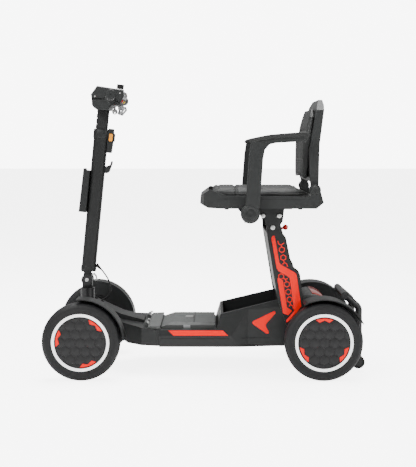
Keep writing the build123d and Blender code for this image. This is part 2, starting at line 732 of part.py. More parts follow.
def make_fold_lever():
    """Curved strap lever behind the pivot that locks the tiller upright."""
    with BuildPart() as lever:
        with BuildSketch(Plane(origin=TILLER_PIVOT, x_dir=FORWARD, z_dir=(0, -1, 0))):
            with BuildLine():
                Polyline((-17.5, 22), (-28, 14), (-31, 3), (-30.6, -1), (-27.6, -1), (-28, 3),
                         (-25.2, 12.4), (-17.5, 18.4), close=True)
            make_face()
            with Locations((-19, 19)):
                Circle(3)
        extrude(amount=9, both=True)
    return lever.part


def make_front_bracket():
    """Channel bracket on the front of the tiller, for a basket or a bag."""
    low, high, depth = 218, 353, 24
    face = TILLER_DEPTH / 2
    with BuildPart() as bracket:
        with BuildSketch(TILLER_SIDE):
            with BuildLine():
                Polyline((face + 0.1, low), (face + depth, low), (face + depth - 3, high + 6),
                         (face + depth - 7, high + 6), (face + depth - 9, high), (face + 0.1, high),
                         close=True)
            make_face()
        extrude(amount=26, both=True)
        with BuildSketch(TILLER_SIDE):
            with BuildLine():
                Polyline((face + 3, low - 1), (face + depth - 4, low - 1), (face + depth - 8, high + 9),
                         (face + 3, high + 9), close=True)
            make_face()
        extrude(amount=22, both=True, mode=Mode.SUBTRACT)
    return bracket.part


def make_bag_hook():
    """Bag hook on the back of the tiller."""
    back = -TILLER_DEPTH / 2
    with BuildPart() as hook:
        with BuildSketch(TILLER_SIDE):
            with BuildLine():
                foot = Polyline((back - 0.1, 372), (back - 0.1, 350), (back - 7, 350))
                outer = Spline(foot @ 1, (back - 18, 366), (back - 22, 391), tangents=((-1, 0.2), (0.25, 1)))
                tip = Line(outer @ 1, (back - 17, 390))
                Spline(tip @ 1, (back - 14, 378), foot @ 0, tangents=((0, -1), (1, -0.3)))
            make_face()
        extrude(amount=7, both=True)
    return hook.part


def make_latch_housing():
    """Height-lock housing behind the top of the tiller tube, with the button's pocket."""
    back = -TILLER_DEPTH / 2
    low, high = 416, 494
    with BuildPart() as housing:
        with BuildSketch(TILLER_SIDE):
            with BuildLine():
                Polyline((back - 0.1, low), (back - 16, low), (back - 19, high - 22), (back - 16, high),
                         (back - 0.1, high), close=True)
            make_face()
        extrude(amount=13, both=True)
        fillet(housing.edges().filter_by(Axis.Y).group_by(Axis.Z)[0], 3)
        with BuildSketch(latch_plane(13)):
            with Locations(LATCH_BUTTON):
                RectangleRounded(12.6, 24.6, 3.3)
        extrude(amount=-8, mode=Mode.SUBTRACT)
        with BuildSketch(TILLER_SIDE):
            with Locations((back - 19.5, high - 28)):
                Rectangle(5, 26)
        extrude(amount=6, both=True)
    return housing.part


def latch_plane(y):
    """Upright plane along the tiller at y, facing outwards to the left."""
    x, _, z = TILLER_PIVOT
    return Plane(origin=(x, y, z), x_dir=(-FORWARD[0], 0, -FORWARD[2]), z_dir=(0, 1, 0))


def make_latch_button():
    """Orange press button of the height lock."""
    with BuildPart() as button:
        with BuildSketch(latch_plane(5 + 3.5)):
            with Locations(LATCH_BUTTON):
                RectangleRounded(12, 24, 3)
        extrude(amount=6.5)
        fillet(button.faces().sort_by(Axis.Y)[-1].edges(), 1.2)
    return button.part


def make_stem():
    """Telescopic stem with height notches, rear rack and the cross handlebar."""
    depth = TILLER_DEPTH - 2 * TILLER_WALL - 0.6
    width = TILLER_WIDTH - 2 * TILLER_WALL - 0.6
    front, back = depth / 2, -depth / 2
    with BuildPart() as stem:
        with BuildSketch(tiller_plane(STEM_BOTTOM)):
            RectangleRounded(depth, width, 12)
        extrude(amount=STEM_TOP - STEM_BOTTOM)
        for notch in range(6):
            with BuildSketch(TILLER_SIDE):
                with Locations((front, STEM_TOP - 12 - notch * NOTCH_PITCH)):
                    Rectangle(5, 4)
            extrude(amount=30, both=True, mode=Mode.SUBTRACT)
        for tooth in range(12):
            with BuildSketch(TILLER_SIDE):
                with Locations((back, STEM_TOP - 5 - tooth * 6)):
                    Rectangle(3, 2.4)
            extrude(amount=30, both=True, mode=Mode.SUBTRACT)
        with BuildSketch(tiller_plane(STEM_TOP)):
            RectangleRounded(22, 22, 6)
        extrude(amount=40)
        for side in SIDES.values():
            with BuildSketch(bar_plane(side, 0)):
                Circle(GRIP_R - 4)
            extrude(amount=GRIP_END - 4)
    return stem.part


def bar_plane(side, along):
    """Plane square to one half of the handlebar, at a distance out from the middle."""
    sweep_angle = radians(BAR_SWEEP)
    direction = (-sin(sweep_angle), side * cos(sweep_angle), 0)
    origin = (BAR_X + direction[0] * along, direction[1] * along, BAR_Z)
    return Plane(origin=origin, x_dir=(0, 0, 1), z_dir=direction)


def make_grips():
    """Pair of rubber hand grips with an inner collar."""
    with BuildPart() as grips:
        for side in SIDES.values():
            with BuildSketch(bar_plane(side, GRIP_START)):
                Circle(GRIP_R)
            extrude(amount=GRIP_END - GRIP_START)
            with BuildSketch(bar_plane(side, GRIP_START)):
                Circle(GRIP_R + 3)
            extrude(amount=5)
            with BuildSketch(bar_plane(side, GRIP_START - 1)):
                Circle(GRIP_R - 4)
            extrude(amount=GRIP_END - 4 - GRIP_START + 1, mode=Mode.SUBTRACT)
    return grips.part


HEAD_TOP = [(365, 868), (367, 881), (347, 908), (271, 896), (264, 890), (262, 876), (274, 853), (300, 866)]
HEAD_LOW = [(365, 867.5), (364, 848), (358, 839), (347, 832), (313, 832), (303, 845), (274, 848), (274, 852.5),
            (300, 865.5)]


def head_shell(outline, half, cavity):
    """Build one moulded half of the head: an outline across, hollowed by a smaller block."""
    with BuildPart() as shell:
        with BuildSketch(side_plane(-half)):
            with BuildLine():
                Polyline(*outline, close=True)
            make_face()
        extrude(amount=-2 * half)
        chamfer(shell.faces().filter_by(Axis.Y).edges(), 2.5)
        x0, x1, z0, z1 = cavity
        block(x0, x1, -half + 4, half - 4, z0, z1, Mode.SUBTRACT)
        for side in SIDES.values():
            with BuildSketch(bar_plane(side, 0)):
                Circle(GRIP_R - 4 + SEAT_FIT)
            extrude(amount=100, mode=Mode.SUBTRACT)
        with BuildSketch(tiller_plane(STEM_TOP - 12)):
            RectangleRounded(TILLER_DEPTH - 2 * TILLER_WALL, TILLER_WIDTH - 2 * TILLER_WALL, 12.3)
        extrude(amount=12.3, mode=Mode.SUBTRACT)
        with BuildSketch(tiller_plane(STEM_TOP)):
            RectangleRounded(22.6, 22.6, 6.3)
        extrude(amount=40.3, mode=Mode.SUBTRACT)
    return shell


def make_head_upper():
    """Upper half of the control head."""
    shell = head_shell(HEAD_TOP, HEAD_HALF_W, (290, 350, 860, 892))
    with shell:
        for y in (BUTTON_Y, -BUTTON_Y):
            with BuildSketch(button_plane(y, 0.5)) as pocket:
                Ellipse(8 + SEAT_FIT, 5 + SEAT_FIT)
            extrude(pocket.sketch, amount=-BUTTON_POCKET - 0.5, mode=Mode.SUBTRACT)
    return shell.part


def make_head_lower():
    """Lower half of the control head."""
    shell = head_shell(HEAD_LOW, HEAD_HALF_W, (316, 356, 840, 870))
    return shell.part


# ---------------------------------------------------------------- controls on the head
def make_speed_dial():
    """Fluted speed dial on its round collar."""
    slope = radians(HEAD_TOP_SLOPE)
    normal = (-sin(slope), 0, cos(slope))
    base = Plane(origin=DIAL_FOOT, x_dir=(cos(slope), 0, sin(slope)), z_dir=normal)
    with BuildPart() as dial:
        with BuildSketch(base):
            Circle(8)
        extrude(amount=5)
        with BuildSketch(base.offset(4)):
            Circle(11.5)
            with PolarLocations(11.8, 12):
                Circle(1.3, mode=Mode.SUBTRACT)
        extrude(amount=13)
    return dial.part


def make_key():
    """Ignition key hanging from its lock under the head."""
    x, z = KEY_AT
    with BuildPart() as key:
        with BuildSketch(Plane.XY.offset(z - 10)):
            with Locations((x, 0)):
                Circle(3.5)
        extrude(amount=10)
        rod_between(x, z - 17, -1.6, 1.6, 9)
        bore_between(x, z - 21, -3, 3, 2)
    return key.part


def button_plane(y, lift):
    """Plane on the head's rear facet at y, lifted off it."""
    (x0, z0), (x1, z1) = HEAD_TOP[5], HEAD_TOP[6]
    length = sqrt((x1 - x0) ** 2 + (z1 - z0) ** 2)
    normal = ((z1 - z0) / length, 0, -(x1 - x0) / length)
    share = 0.72
    origin = (x0 + (x1 - x0) * share + normal[0] * lift, y, z0 + (z1 - z0) * share + normal[2] * lift)
    return Plane(origin=origin, x_dir=(0, 1, 0), z_dir=normal)


def make_head_button(y):
    """Oval push button on the head's rear facet."""
    with BuildPart() as button:
        with BuildSketch(button_plane(y, -1)):
            Ellipse(8, 5)
        extrude(amount=4.4)
        fillet(button.edges().sort_by(Axis.X)[0], 1)
    return button.part


def make_throttle():
    """Rocking thumb paddle under the back of the head: two looped wings on a hub."""
    x, top = PADDLE_AT
    with BuildPart() as paddle:
        with BuildSketch(Plane.XY.offset(top - 12)):
            with Locations((x, 0)):
                Circle(8)
        extrude(amount=12)
        block(x - 5, x + 1, -60, 60, top - 12, top - 8)
        for side in SIDES.values():
            low = min(side * 24, side * 62)
            with BuildSketch(side_plane(low)):
                with BuildLine():
                    Polyline((x - 14, top - 1), (x - 17, top - 12), (x - 1, top - 30), (x + 4, top - 27),
                             (x - 4, top - 4), close=True)
                make_face()
                offset(amount=-3.2, mode=Mode.SUBTRACT)
            extrude(amount=-38)
    return paddle.part


# ---------------------------------------------------------------- seat post
def post_point(along, across):
    """Side-view point measured up the post from its pivot, and forward of it."""
    x = POST_PIVOT_X + along * sin(POST_LEAN) + across * cos(POST_LEAN)
    z = POST_PIVOT_Z + along * cos(POST_LEAN) - across * sin(POST_LEAN)
    return (x, z)


def make_seat_post():
    """Folding post: two wide side legs, a cross box between them and the pivot eyes."""
    length = sqrt((TILT_BOLT_X - POST_PIVOT_X) ** 2 + (TILT_BOLT_Z - POST_PIVOT_Z) ** 2)
    inner = POST_OUTER_Y - LEG_W
    leg = [(0, 24), (120, 36), (length - 20, 22), (length + 14, 16), (length + 20, -8), (length + 2, -26),
           (length - 26, -27), (length - 40, -33), (220, -31), (206, -38), (196, -47), (182, -50), (0, -30)]
    with BuildPart() as post:
        for side in SIDES.values():
            with BuildSketch(side_plane(min(side * inner, side * POST_OUTER_Y))):
                with BuildLine():
                    Polyline(*[post_point(a, c) for a, c in leg], close=True)
                make_face()
                with Locations((POST_PIVOT_X, POST_PIVOT_Z)):
                    Circle(28)
            extrude(amount=-LEG_W)
        with BuildSketch(side_plane(-inner - 1)):
            with BuildLine():
                Polyline(post_point(215, 27), post_point(length - 14, 21), post_point(length - 14, -26),
                         post_point(215, -29), close=True)
            make_face()
        extrude(amount=-2 * inner - 2)
        with BuildSketch(side_plane(-inner + 6)):
            with BuildLine():
                Polyline(post_point(219, 23), post_point(length - 18, 17), post_point(length - 18, -22),
                         post_point(219, -25), close=True)
            make_face()
        extrude(amount=-2 * inner + 12, mode=Mode.SUBTRACT)
        with BuildSketch(side_plane(-POST_BAND_HALF_W)):
            with BuildLine():
                Polyline(post_point(138, 33), post_point(216, 27), post_point(216, 21), post_point(138, 27),
                         close=True)
            make_face()
        extrude(amount=-2 * POST_BAND_HALF_W)
        bore_between(POST_PIVOT_X, POST_PIVOT_Z, -200, 200, 10 + RUN_FIT)
        bore_between(TILT_BOLT_X, TILT_BOLT_Z, -200, 200, 6 + RUN_FIT)
        with BuildSketch(knob_plane(-12)):
            Circle(4 + RUN_FIT)
        extrude(amount=20, mode=Mode.SUBTRACT)
    return post.part


def make_post_pivots():
    """Pivot bolts of the seat post, in bosses on both sides of the main cover."""
    with BuildPart() as bolts:
        for side in SIDES.values():
            rod_between(POST_PIVOT_X, POST_PIVOT_Z, side * (TAIL_HALF_W + 0.1), side * POST_OUTER_Y, 10)
            rod_between(POST_PIVOT_X, POST_PIVOT_Z, side * (TAIL_HALF_W + 0.1), side * (POST_OUTER_Y - LEG_W - 0.5), 20)
            rod_between(POST_PIVOT_X, POST_PIVOT_Z, side * (POST_OUTER_Y + 0.4), side * (POST_OUTER_Y + 4), 14)
            rod_between(POST_PIVOT_X, POST_PIVOT_Z, side * POST_OUTER_Y, side * (POST_OUTER_Y + 1), 10)
    return bolts.part


def knob_plane(along):
    """Plane square to the lock knob's travel, behind the top of the post."""
    x, z = KNOB_AT
    tilt = radians(KNOB_TILT)
    direction = (-cos(tilt), 0, sin(tilt))
    return Plane(origin=(x + direction[0] * along, 0, z + direction[2] * along), x_dir=(0, 1, 0), z_dir=direction)


def make_lock_knob():
    """Red ball knob on the plunger that locks the folding seat."""
    with BuildPart() as knob:
        with BuildSketch(knob_plane(-10)):
            Circle(4)
        extrude(amount=26)
        with Locations(knob_plane(20).origin):
            Sphere(9)
    return knob.part


# ---------------------------------------------------------------- seat
def make_seat_bracket():
    """Seat bracket: top plate, two side plates, tilt bolts and the armrest tube."""
    plate_in, plate_out = POST_OUTER_Y + SIDE_GAP, POST_OUTER_Y + 4.5
    x, z = TILT_BOLT_X, TILT_BOLT_Z
    top = SEAT_BOTTOM - 0.3
    with BuildPart() as bracket:
        block(x - 60, ARM_X + 20, -plate_out, plate_out, top - 4, top)
        for side in SIDES.values():
            with BuildSketch(side_plane(min(side * plate_in, side * plate_out))):
                with BuildLine():
                    Polyline((x - 36, top), (x - 31, z + 19), (x - 18, z), (x, z - 18), (x + 18, z),
                             (x + 25, z + 27), (x + 42, z + 40), (x + 42, top), close=True)
                make_face()
            extrude(amount=-(plate_out - plate_in))
        rod_between(x, z, -plate_out - 3, plate_out + 3, 6)
        for side in SIDES.values():
            for bx, bz in ((x, z), (x - 20, z + 37), (x + 31, z + 37)):
                rod_between(bx, bz, side * plate_out, side * (plate_out + 4), 7.5)
        block(ARM_X - 13, ARM_X + 13, -ARM_TUBE_END, ARM_TUBE_END, ARM_Z - 13, top - 3.9)
        block(ARM_X - ARM_BAR / 2 - 0.3, ARM_X + ARM_BAR / 2 + 0.3, -300, 300,
              ARM_Z - 13 + 3, ARM_Z - 13 + 3.6 + ARM_BAR, Mode.SUBTRACT)
        block(ARM_X - 8, ARM_X + 8, -6, 6, ARM_Z - 13, top - 4)
        for side in SIDES.values():
            with BuildSketch(Plane.XY.offset(ARM_Z - 15)):
                with Locations((ARM_X, side * KNOB_Y)):
                    Circle(5 + RUN_FIT)
            extrude(amount=8, mode=Mode.SUBTRACT)
    return bracket.part


def make_seat_base():
    """Moulded seat pan with a raised rim, faceted nose and backrest ears."""
    h = SEAT_HALF_W
    cut = 58
    with BuildPart() as base:
        with BuildSketch(side_plane(-h)):
            with BuildLine():
                Polyline(
                    (SEAT_FRONT_X, SEAT_BOTTOM + 12), (SEAT_FRONT_X - 2, SEAT_RIM), (SEAT_FRONT_X - 30, SEAT_RIM + 19),
                    (SEAT_FRONT_X - 34, SEAT_RIM + 19), (SEAT_FRONT_X - 84, SEAT_RIM + 2),
                    (SEAT_REAR_X + 40, SEAT_RIM), (SEAT_REAR_X + 26, SEAT_RIM + 10),
                    (SEAT_REAR_X + 4, BACK_HINGE_Z - 4), (SEAT_REAR_X - 6, SEAT_BOTTOM + 18),
                    (SEAT_REAR_X + 16, SEAT_BOTTOM), (SEAT_FRONT_X - 26, SEAT_BOTTOM), close=True,
                )
            make_face()
        extrude(amount=-2 * h)
        with BuildSketch(Plane.XY.offset(SEAT_BOTTOM)):
            with BuildLine():
                points = [
                    (SEAT_FRONT_X, h - 92), (SEAT_FRONT_X - 12, h - 52), (SEAT_FRONT_X - cut, h - 6),
                    (SEAT_FRONT_X - cut - 30, h), (SEAT_REAR_X - 6, h),
                ]
                Polyline(*points, *[(x, -y) for x, y in reversed(points)], close=True)
            make_face()
        extrude(amount=90, mode=Mode.INTERSECT)
        with BuildSketch(Plane.XY.offset(SEAT_RIM - 18)):
            with Locations(((SEAT_FRONT_X + SEAT_REAR_X) / 2 + 4, 0)):
                RectangleRounded(SEAT_FRONT_X - SEAT_REAR_X - 62, 2 * h - 40, 40)
        extrude(amount=90, mode=Mode.SUBTRACT)
        block(SEAT_REAR_X - 10, SEAT_REAR_X + 39, -h + 36, h - 36, SEAT_RIM - 6, 700, Mode.SUBTRACT)
        for side in SIDES.values():
            rod_between(BACK_HINGE_X, BACK_HINGE_Z, side * (h - 14), side * h, 18)
            block(SEAT_REAR_X - 10, SEAT_REAR_X + 52, min(side * (h - 14), side * (h - 37)),
                  max(side * (h - 14), side * (h - 37)), SEAT_RIM - 6, 700, Mode.SUBTRACT)
            rod_between(BACK_HINGE_X, BACK_HINGE_Z, side * (h - 36), side * (h - 13), 7)
    return base.part


def make_seat_cushion():
    """Seat cushion that drops into the pan."""
    x0 = (SEAT_FRONT_X + SEAT_REAR_X) / 2 + 4
    with BuildPart() as cushion:
        with BuildSketch(Plane.XY.offset(SEAT_RIM - 18 + SEAT_FIT)):
            with Locations((x0, 0)):
                RectangleRounded(SEAT_FRONT_X - SEAT_REAR_X - 62 - 2, 2 * SEAT_HALF_W - 42, 39)
        extrude(amount=CUSHION_TOP - SEAT_RIM + 18)
        fillet(cushion.faces().sort_by(Axis.Z)[-1].edges(), 9)
    return cushion.part


def make_backrest_shell():
    """Moulded backrest shell with hinge arms; its front is hollowed by a wide arc."""
    h = SEAT_HALF_W
    half_w = h - 12
    with BuildPart() as shell:
        with BuildSketch(side_plane(-half_w)):
            with BuildLine():
                Polyline(
                    (BACK_HINGE_X + 15, BACK_HINGE_Z + 26), (BACK_HINGE_X + 18, 700), (BACK_HINGE_X + 4, 772),
                    (BACK_HINGE_X - 10, 844), (BACK_HINGE_X - 18, BACK_TOP), (BACK_HINGE_X - 30, BACK_TOP),
                    (BACK_HINGE_X - 32, 844), (BACK_HINGE_X - 14, 725), (BACK_HINGE_X - 12, BACK_HINGE_Z + 26),
                    close=True,
                )
            make_face()
        extrude(amount=-2 * half_w)
        with BuildSketch(Plane.YZ.offset(-450)):
            with BuildLine():
                points = [(half_w - 2, BACK_HINGE_Z + 26), (half_w, 740), (half_w - 26, 828), (half_w - 92, BACK_TOP)]
                Polyline(*points, *[(-y, z) for y, z in reversed(points)], close=True)
            make_face()
        extrude(amount=250, mode=Mode.INTERSECT)
        for side in SIDES.values():
            low = min(side * (h - 15), side * (h - 35))
            with BuildSketch(side_plane(low)):
                with Locations((BACK_HINGE_X, BACK_HINGE_Z)):
                    Circle(14)
                with Locations((BACK_HINGE_X, BACK_HINGE_Z + 22)):
                    Rectangle(24, 40)
            extrude(amount=-20)
        bore_between(BACK_HINGE_X, BACK_HINGE_Z, -h, h, 7 + RUN_FIT)
    return shell.part


def make_backrest_pad():
    """Backrest pad on the front of the shell."""
    half_w = SEAT_HALF_W - 34
    gap = SEAT_FIT
    with BuildPart() as pad:
        with BuildSketch(side_plane(-half_w)):
            with BuildLine():
                Polyline(
                    (BACK_HINGE_X + 18 + gap, 614), (BACK_HINGE_X + 31, 614), (BACK_HINGE_X + 31, 726),
                    (BACK_HINGE_X + 19, 770), (BACK_HINGE_X + 2, 838), (BACK_HINGE_X - 9 + gap, 842),
                    (BACK_HINGE_X + 4.6 + gap, 772), (BACK_HINGE_X + 18 + gap, 702), close=True,
                )
            make_face()
        extrude(amount=-2 * half_w)
        with BuildSketch(Plane.YZ.offset(-450)):
            with BuildLine():
                points = [(half_w - 12, 612), (half_w, 640), (half_w, 740), (half_w - 22, 812), (half_w - 66, 842)]
                Polyline(*points, *[(-y, z) for y, z in reversed(points)], close=True)
            make_face()
        extrude(amount=250, mode=Mode.INTERSECT)
    return pad.part


# ---------------------------------------------------------------- armrests
def make_arm_slide(side):
    """Sliding bar of one armrest with the round pin that the armrest turns on."""
    inner = 10
    pin_end = ARM_Y - 1
    z0 = ARM_Z - 13 + 3.3
    with BuildPart() as slide:
        low, high = sorted((side * inner, side * (ARM_Y - ARM_T - SIDE_GAP)))
        block(ARM_X - ARM_BAR / 2, ARM_X + ARM_BAR / 2, low, high, z0, z0 + ARM_BAR)
        rod_between(ARM_X, ARM_Z, side * (ARM_Y - ARM_T - 6), side * (ARM_Y - ARM_T - SIDE_GAP), 20)
        rod_between(ARM_X, ARM_Z, side * (ARM_Y - ARM_T - 6), side * pin_end, ARM_PIN_R)
    return slide.part


def make_armrest(side):
    """Armrest: hub ring, upright and the arm that runs back to its end."""
    with BuildPart() as arm:
        with BuildSketch(side_plane(min(side * ARM_Y, side * (ARM_Y - ARM_T)))):
            with Locations((ARM_X, ARM_Z)):
                Circle(29)
            with BuildLine():
                Polyline(
                    (ARM_X + 15, ARM_Z + 18), (ARM_X + 4, 690), (ARM_X - 3, 735), (ARM_X - 24, 744),
                    (ARM_X - 60, 750), (ARM_X - 160, 757), (ARM_X - 171, 755), (ARM_X - 172, 743),
                    (ARM_X - 152, 731), (ARM_X - 76, 727), (ARM_X - 56, 722), (ARM_X - 43, 706),
                    (ARM_X - 38, 680), (ARM_X - 28, ARM_Z + 18), close=True,
                )
            make_face()
        extrude(amount=-ARM_T)
        bore_between(ARM_X, ARM_Z, side * (ARM_Y - ARM_T - 1), side * (ARM_Y + 1), ARM_PIN_R + RUN_FIT)
        fillet(arm.faces().sort_by(Axis.Y)[-1 if side > 0 else 0].outer_wire().edges(), 2)
    return arm.part


def make_arm_knob(side):
    """Clamp knob under the armrest tube."""
    y = side * KNOB_Y
    z_top = ARM_Z - 13
    with BuildPart() as knob:
        with BuildSketch(Plane.XY.offset(z_top - 18)):
            with Locations((ARM_X, y)):
                Circle(16)
                with PolarLocations(17, 9):
                    Circle(3, mode=Mode.SUBTRACT)
        extrude(amount=17.5)
        with BuildSketch(Plane.XY.offset(z_top - 1)):
            with Locations((ARM_X, y)):
                Circle(5)
        extrude(amount=3.5)
    return knob.part


# ---------------------------------------------------------------- wiring
HARNESS_ROUTE = [
    (356, 0, 330), (335, 2, 305), (319, 6, 280), (313, 10, 252), (322, 10, 229), (340, 8, 219),
]
HARNESS_R = 2.4


def make_harness():
    """Wiring from the back of the tiller to its grommet on the front cover."""
    points = [Vector(*p) for p in HARNESS_ROUTE]
    radii = []
    for before, here, after in zip(points, points[1:], points[2:]):
        first, second = here - before, after - here
        half_turn = radians(first.get_angle(second) / 2)
        radii.append(0.45 * min(first.length, second.length) / tan(half_turn))
    print("harness radii", [round(r, 1) for r in radii])
    with BuildPart() as harness:
        with BuildLine() as route:
            FilletPolyline(*HARNESS_ROUTE, radius=radii)
        with BuildSketch(Plane(origin=points[0], z_dir=points[1] - points[0])):
            Circle(HARNESS_R)
        sweep(path=route.line)
    length = sum(edge.length for edge in route.edges())
    wanted = length * pi * HARNESS_R**2
    print("harness length", round(length, 1), "volume share", round(harness.part.volume / wanted, 4))
    return harness.part


# ---------------------------------------------------------------- write the parts
def main():
    """Make each piece and write it under its node name."""
    axle_end = WHEEL_Y + RIM_W / 2 - AXLE_END
    pieces = {
        "main_frame": make_main_frame, "rear_body": make_rear_body, "belly_pan": make_belly_pan,
        "front_body": make_front_body, "deck_strip": make_deck_strip, "transaxle": make_transaxle,
        "controller": make_controller, "motor_cover": make_motor_cover,
        "rear_fenders": make_rear_fenders, "rear_bar": make_rear_bar,
        "battery_case": make_battery_case, "battery_cells": make_battery_cells,
        "battery_latch": make_battery_latch, "steering_column": make_steering_column,
        "tie_rod": make_tie_rod, "tiller_tube": make_tiller_tube, "fold_bolt": make_fold_bolt,
        "fold_lever": make_fold_lever, "front_bracket": make_front_bracket, "bag_hook": make_bag_hook,
        "latch_housing": make_latch_housing, "latch_button": make_latch_button,
        "tiller_stem": make_stem, "hand_grips": make_grips, "head_upper": make_head_upper,
        "head_lower": make_head_lower, "speed_dial": make_speed_dial, "ignition_key": make_key,
        "throttle_paddle": make_throttle, "seat_post": make_seat_post, "post_pivots": make_post_pivots,
        "lock_knob": make_lock_knob, "seat_bracket": make_seat_bracket, "seat_base": make_seat_base,
        "seat_cushion": make_seat_cushion, "backrest_shell": make_backrest_shell,
        "backrest_pad": make_backrest_pad, "wiring_harness": make_harness,
    }
    for name, make in pieces.items():
        save(make(), name)
    save(make_head_button(BUTTON_Y), "red_button")
    save(make_head_button(-BUTTON_Y), "yellow_button")
    for name, side in SIDES.items():
        save(make_tyre(FRONT_AXLE_X, side), f"front_{name}_tyre")
        save(make_hub(FRONT_AXLE_X, side, WHEEL_Y - RIM_W / 2 - 1), f"front_{name}_hub")
        save(make_tyre(REAR_AXLE_X, side), f"rear_{name}_tyre")
        save(make_rear_hub(side, axle_end), f"rear_{name}_hub")
        save(make_knuckle(side), f"{name}_knuckle")
        save(make_front_fender(side), f"front_{name}_fender")
        save(make_caster(side), f"{name}_caster")
        save(make_arm_slide(side), f"{name}_arm_slide")
        save(make_armrest(side), f"{name}_armrest")
        save(make_arm_knob(side), f"{name}_arm_knob")


if __name__ == "__main__":
    main()
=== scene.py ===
"""Looks of the folding mobility scooter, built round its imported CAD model."""

import logging
import math
from collections.abc import Callable
from dataclasses import dataclass
from enum import Enum

import bpy
from mathutils import Matrix, Vector


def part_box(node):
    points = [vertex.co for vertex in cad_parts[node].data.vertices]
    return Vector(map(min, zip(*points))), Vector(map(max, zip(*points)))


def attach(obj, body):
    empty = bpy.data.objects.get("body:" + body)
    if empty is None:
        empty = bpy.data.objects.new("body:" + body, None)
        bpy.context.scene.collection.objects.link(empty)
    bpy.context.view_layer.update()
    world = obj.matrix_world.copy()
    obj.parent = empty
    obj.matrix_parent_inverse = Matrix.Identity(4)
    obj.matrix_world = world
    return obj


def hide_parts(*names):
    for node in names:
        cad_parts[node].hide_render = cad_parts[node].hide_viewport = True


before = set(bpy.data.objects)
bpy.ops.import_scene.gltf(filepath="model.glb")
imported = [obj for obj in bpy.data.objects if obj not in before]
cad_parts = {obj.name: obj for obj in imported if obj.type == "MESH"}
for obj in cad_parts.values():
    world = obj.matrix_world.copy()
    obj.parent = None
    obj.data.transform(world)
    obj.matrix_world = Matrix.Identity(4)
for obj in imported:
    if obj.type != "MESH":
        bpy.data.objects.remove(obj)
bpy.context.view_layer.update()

LOG = logging.getLogger("scooter")
Point = tuple[float, float, float]
Flat = tuple[float, float]
Colour = tuple[float, float, float]


class Side(Enum):
    """The rider's left and right, as a factor on Y."""

    LEFT = 1
    RIGHT = -1

    @property
    def word(self) -> str:
        """Name of the side in body and node names."""
        return self.name.lower()


# ---------------------------------------------------------------- shader maths
class Signal:
    """A number socket that Python's operators work on."""

    def __init__(self, recipe: "Recipe", socket: bpy.types.NodeSocket) -> None:
        """Wrap one output socket of a recipe's node."""
        self.recipe = recipe
        self.socket = socket

    def _math(self, operation: str, *values: "Signal | float") -> "Signal":
        """Add one Math node.

        Args:
            operation: Math node operation.
            values: Signals or plain numbers for its inputs, in order.

        Returns:
            The node's result.
        """
        inputs = {index: value for index, value in enumerate(values)}
        return self.recipe.add("ShaderNodeMath", {"operation": operation}, inputs)

    def __add__(self, other: "Signal | float") -> "Signal":
        """Sum."""
        return self._math("ADD", self, other)

    __radd__ = __add__

    def __sub__(self, other: "Signal | float") -> "Signal":
        """Difference."""
        return self._math("SUBTRACT", self, other)

    def __rsub__(self, other: float) -> "Signal":
        """Difference from a number."""
        return self._math("SUBTRACT", other, self)

    def __mul__(self, other: "Signal | float") -> "Signal":
        """Product."""
        return self._math("MULTIPLY", self, other)

    __rmul__ = __mul__

    def __truediv__(self, other: "Signal | float") -> "Signal":
        """Quotient."""
        return self._math("DIVIDE", self, other)

    def __abs__(self) -> "Signal":
        """Size without sign."""
        return self._math("ABSOLUTE", self)

    def __mod__(self, other: float) -> "Signal":
        """Remainder, never negative."""
        return self._math("FLOORED_MODULO", self, other)

    def __pow__(self, other: float) -> "Signal":
        """Power."""
        return self._math("POWER", self, other)

    def __gt__(self, other: "Signal | float") -> "Signal":
        """One where this is greater, else nothing."""
        return self._math("GREATER_THAN", self, other)

    def angle(self, other: "Signal") -> "Signal":
        """Angle of the point (other, self) in radians."""
        return self._math("ARCTAN2", self, other)

    def step(self, low: float, high: float) -> "Signal":
        """Smooth step from 0 at low to 1 at high.

        Args:
            low: Value where the step starts.
            high: Value where the step ends.

        Returns:
            The stepped signal, clamped to 0..1.
        """
        settings = {"interpolation_type": "SMOOTHSTEP"}
        return self.recipe.add("ShaderNodeMapRange", settings, {0: self, 1: low, 2: high, 3: 0.0, 4: 1.0})


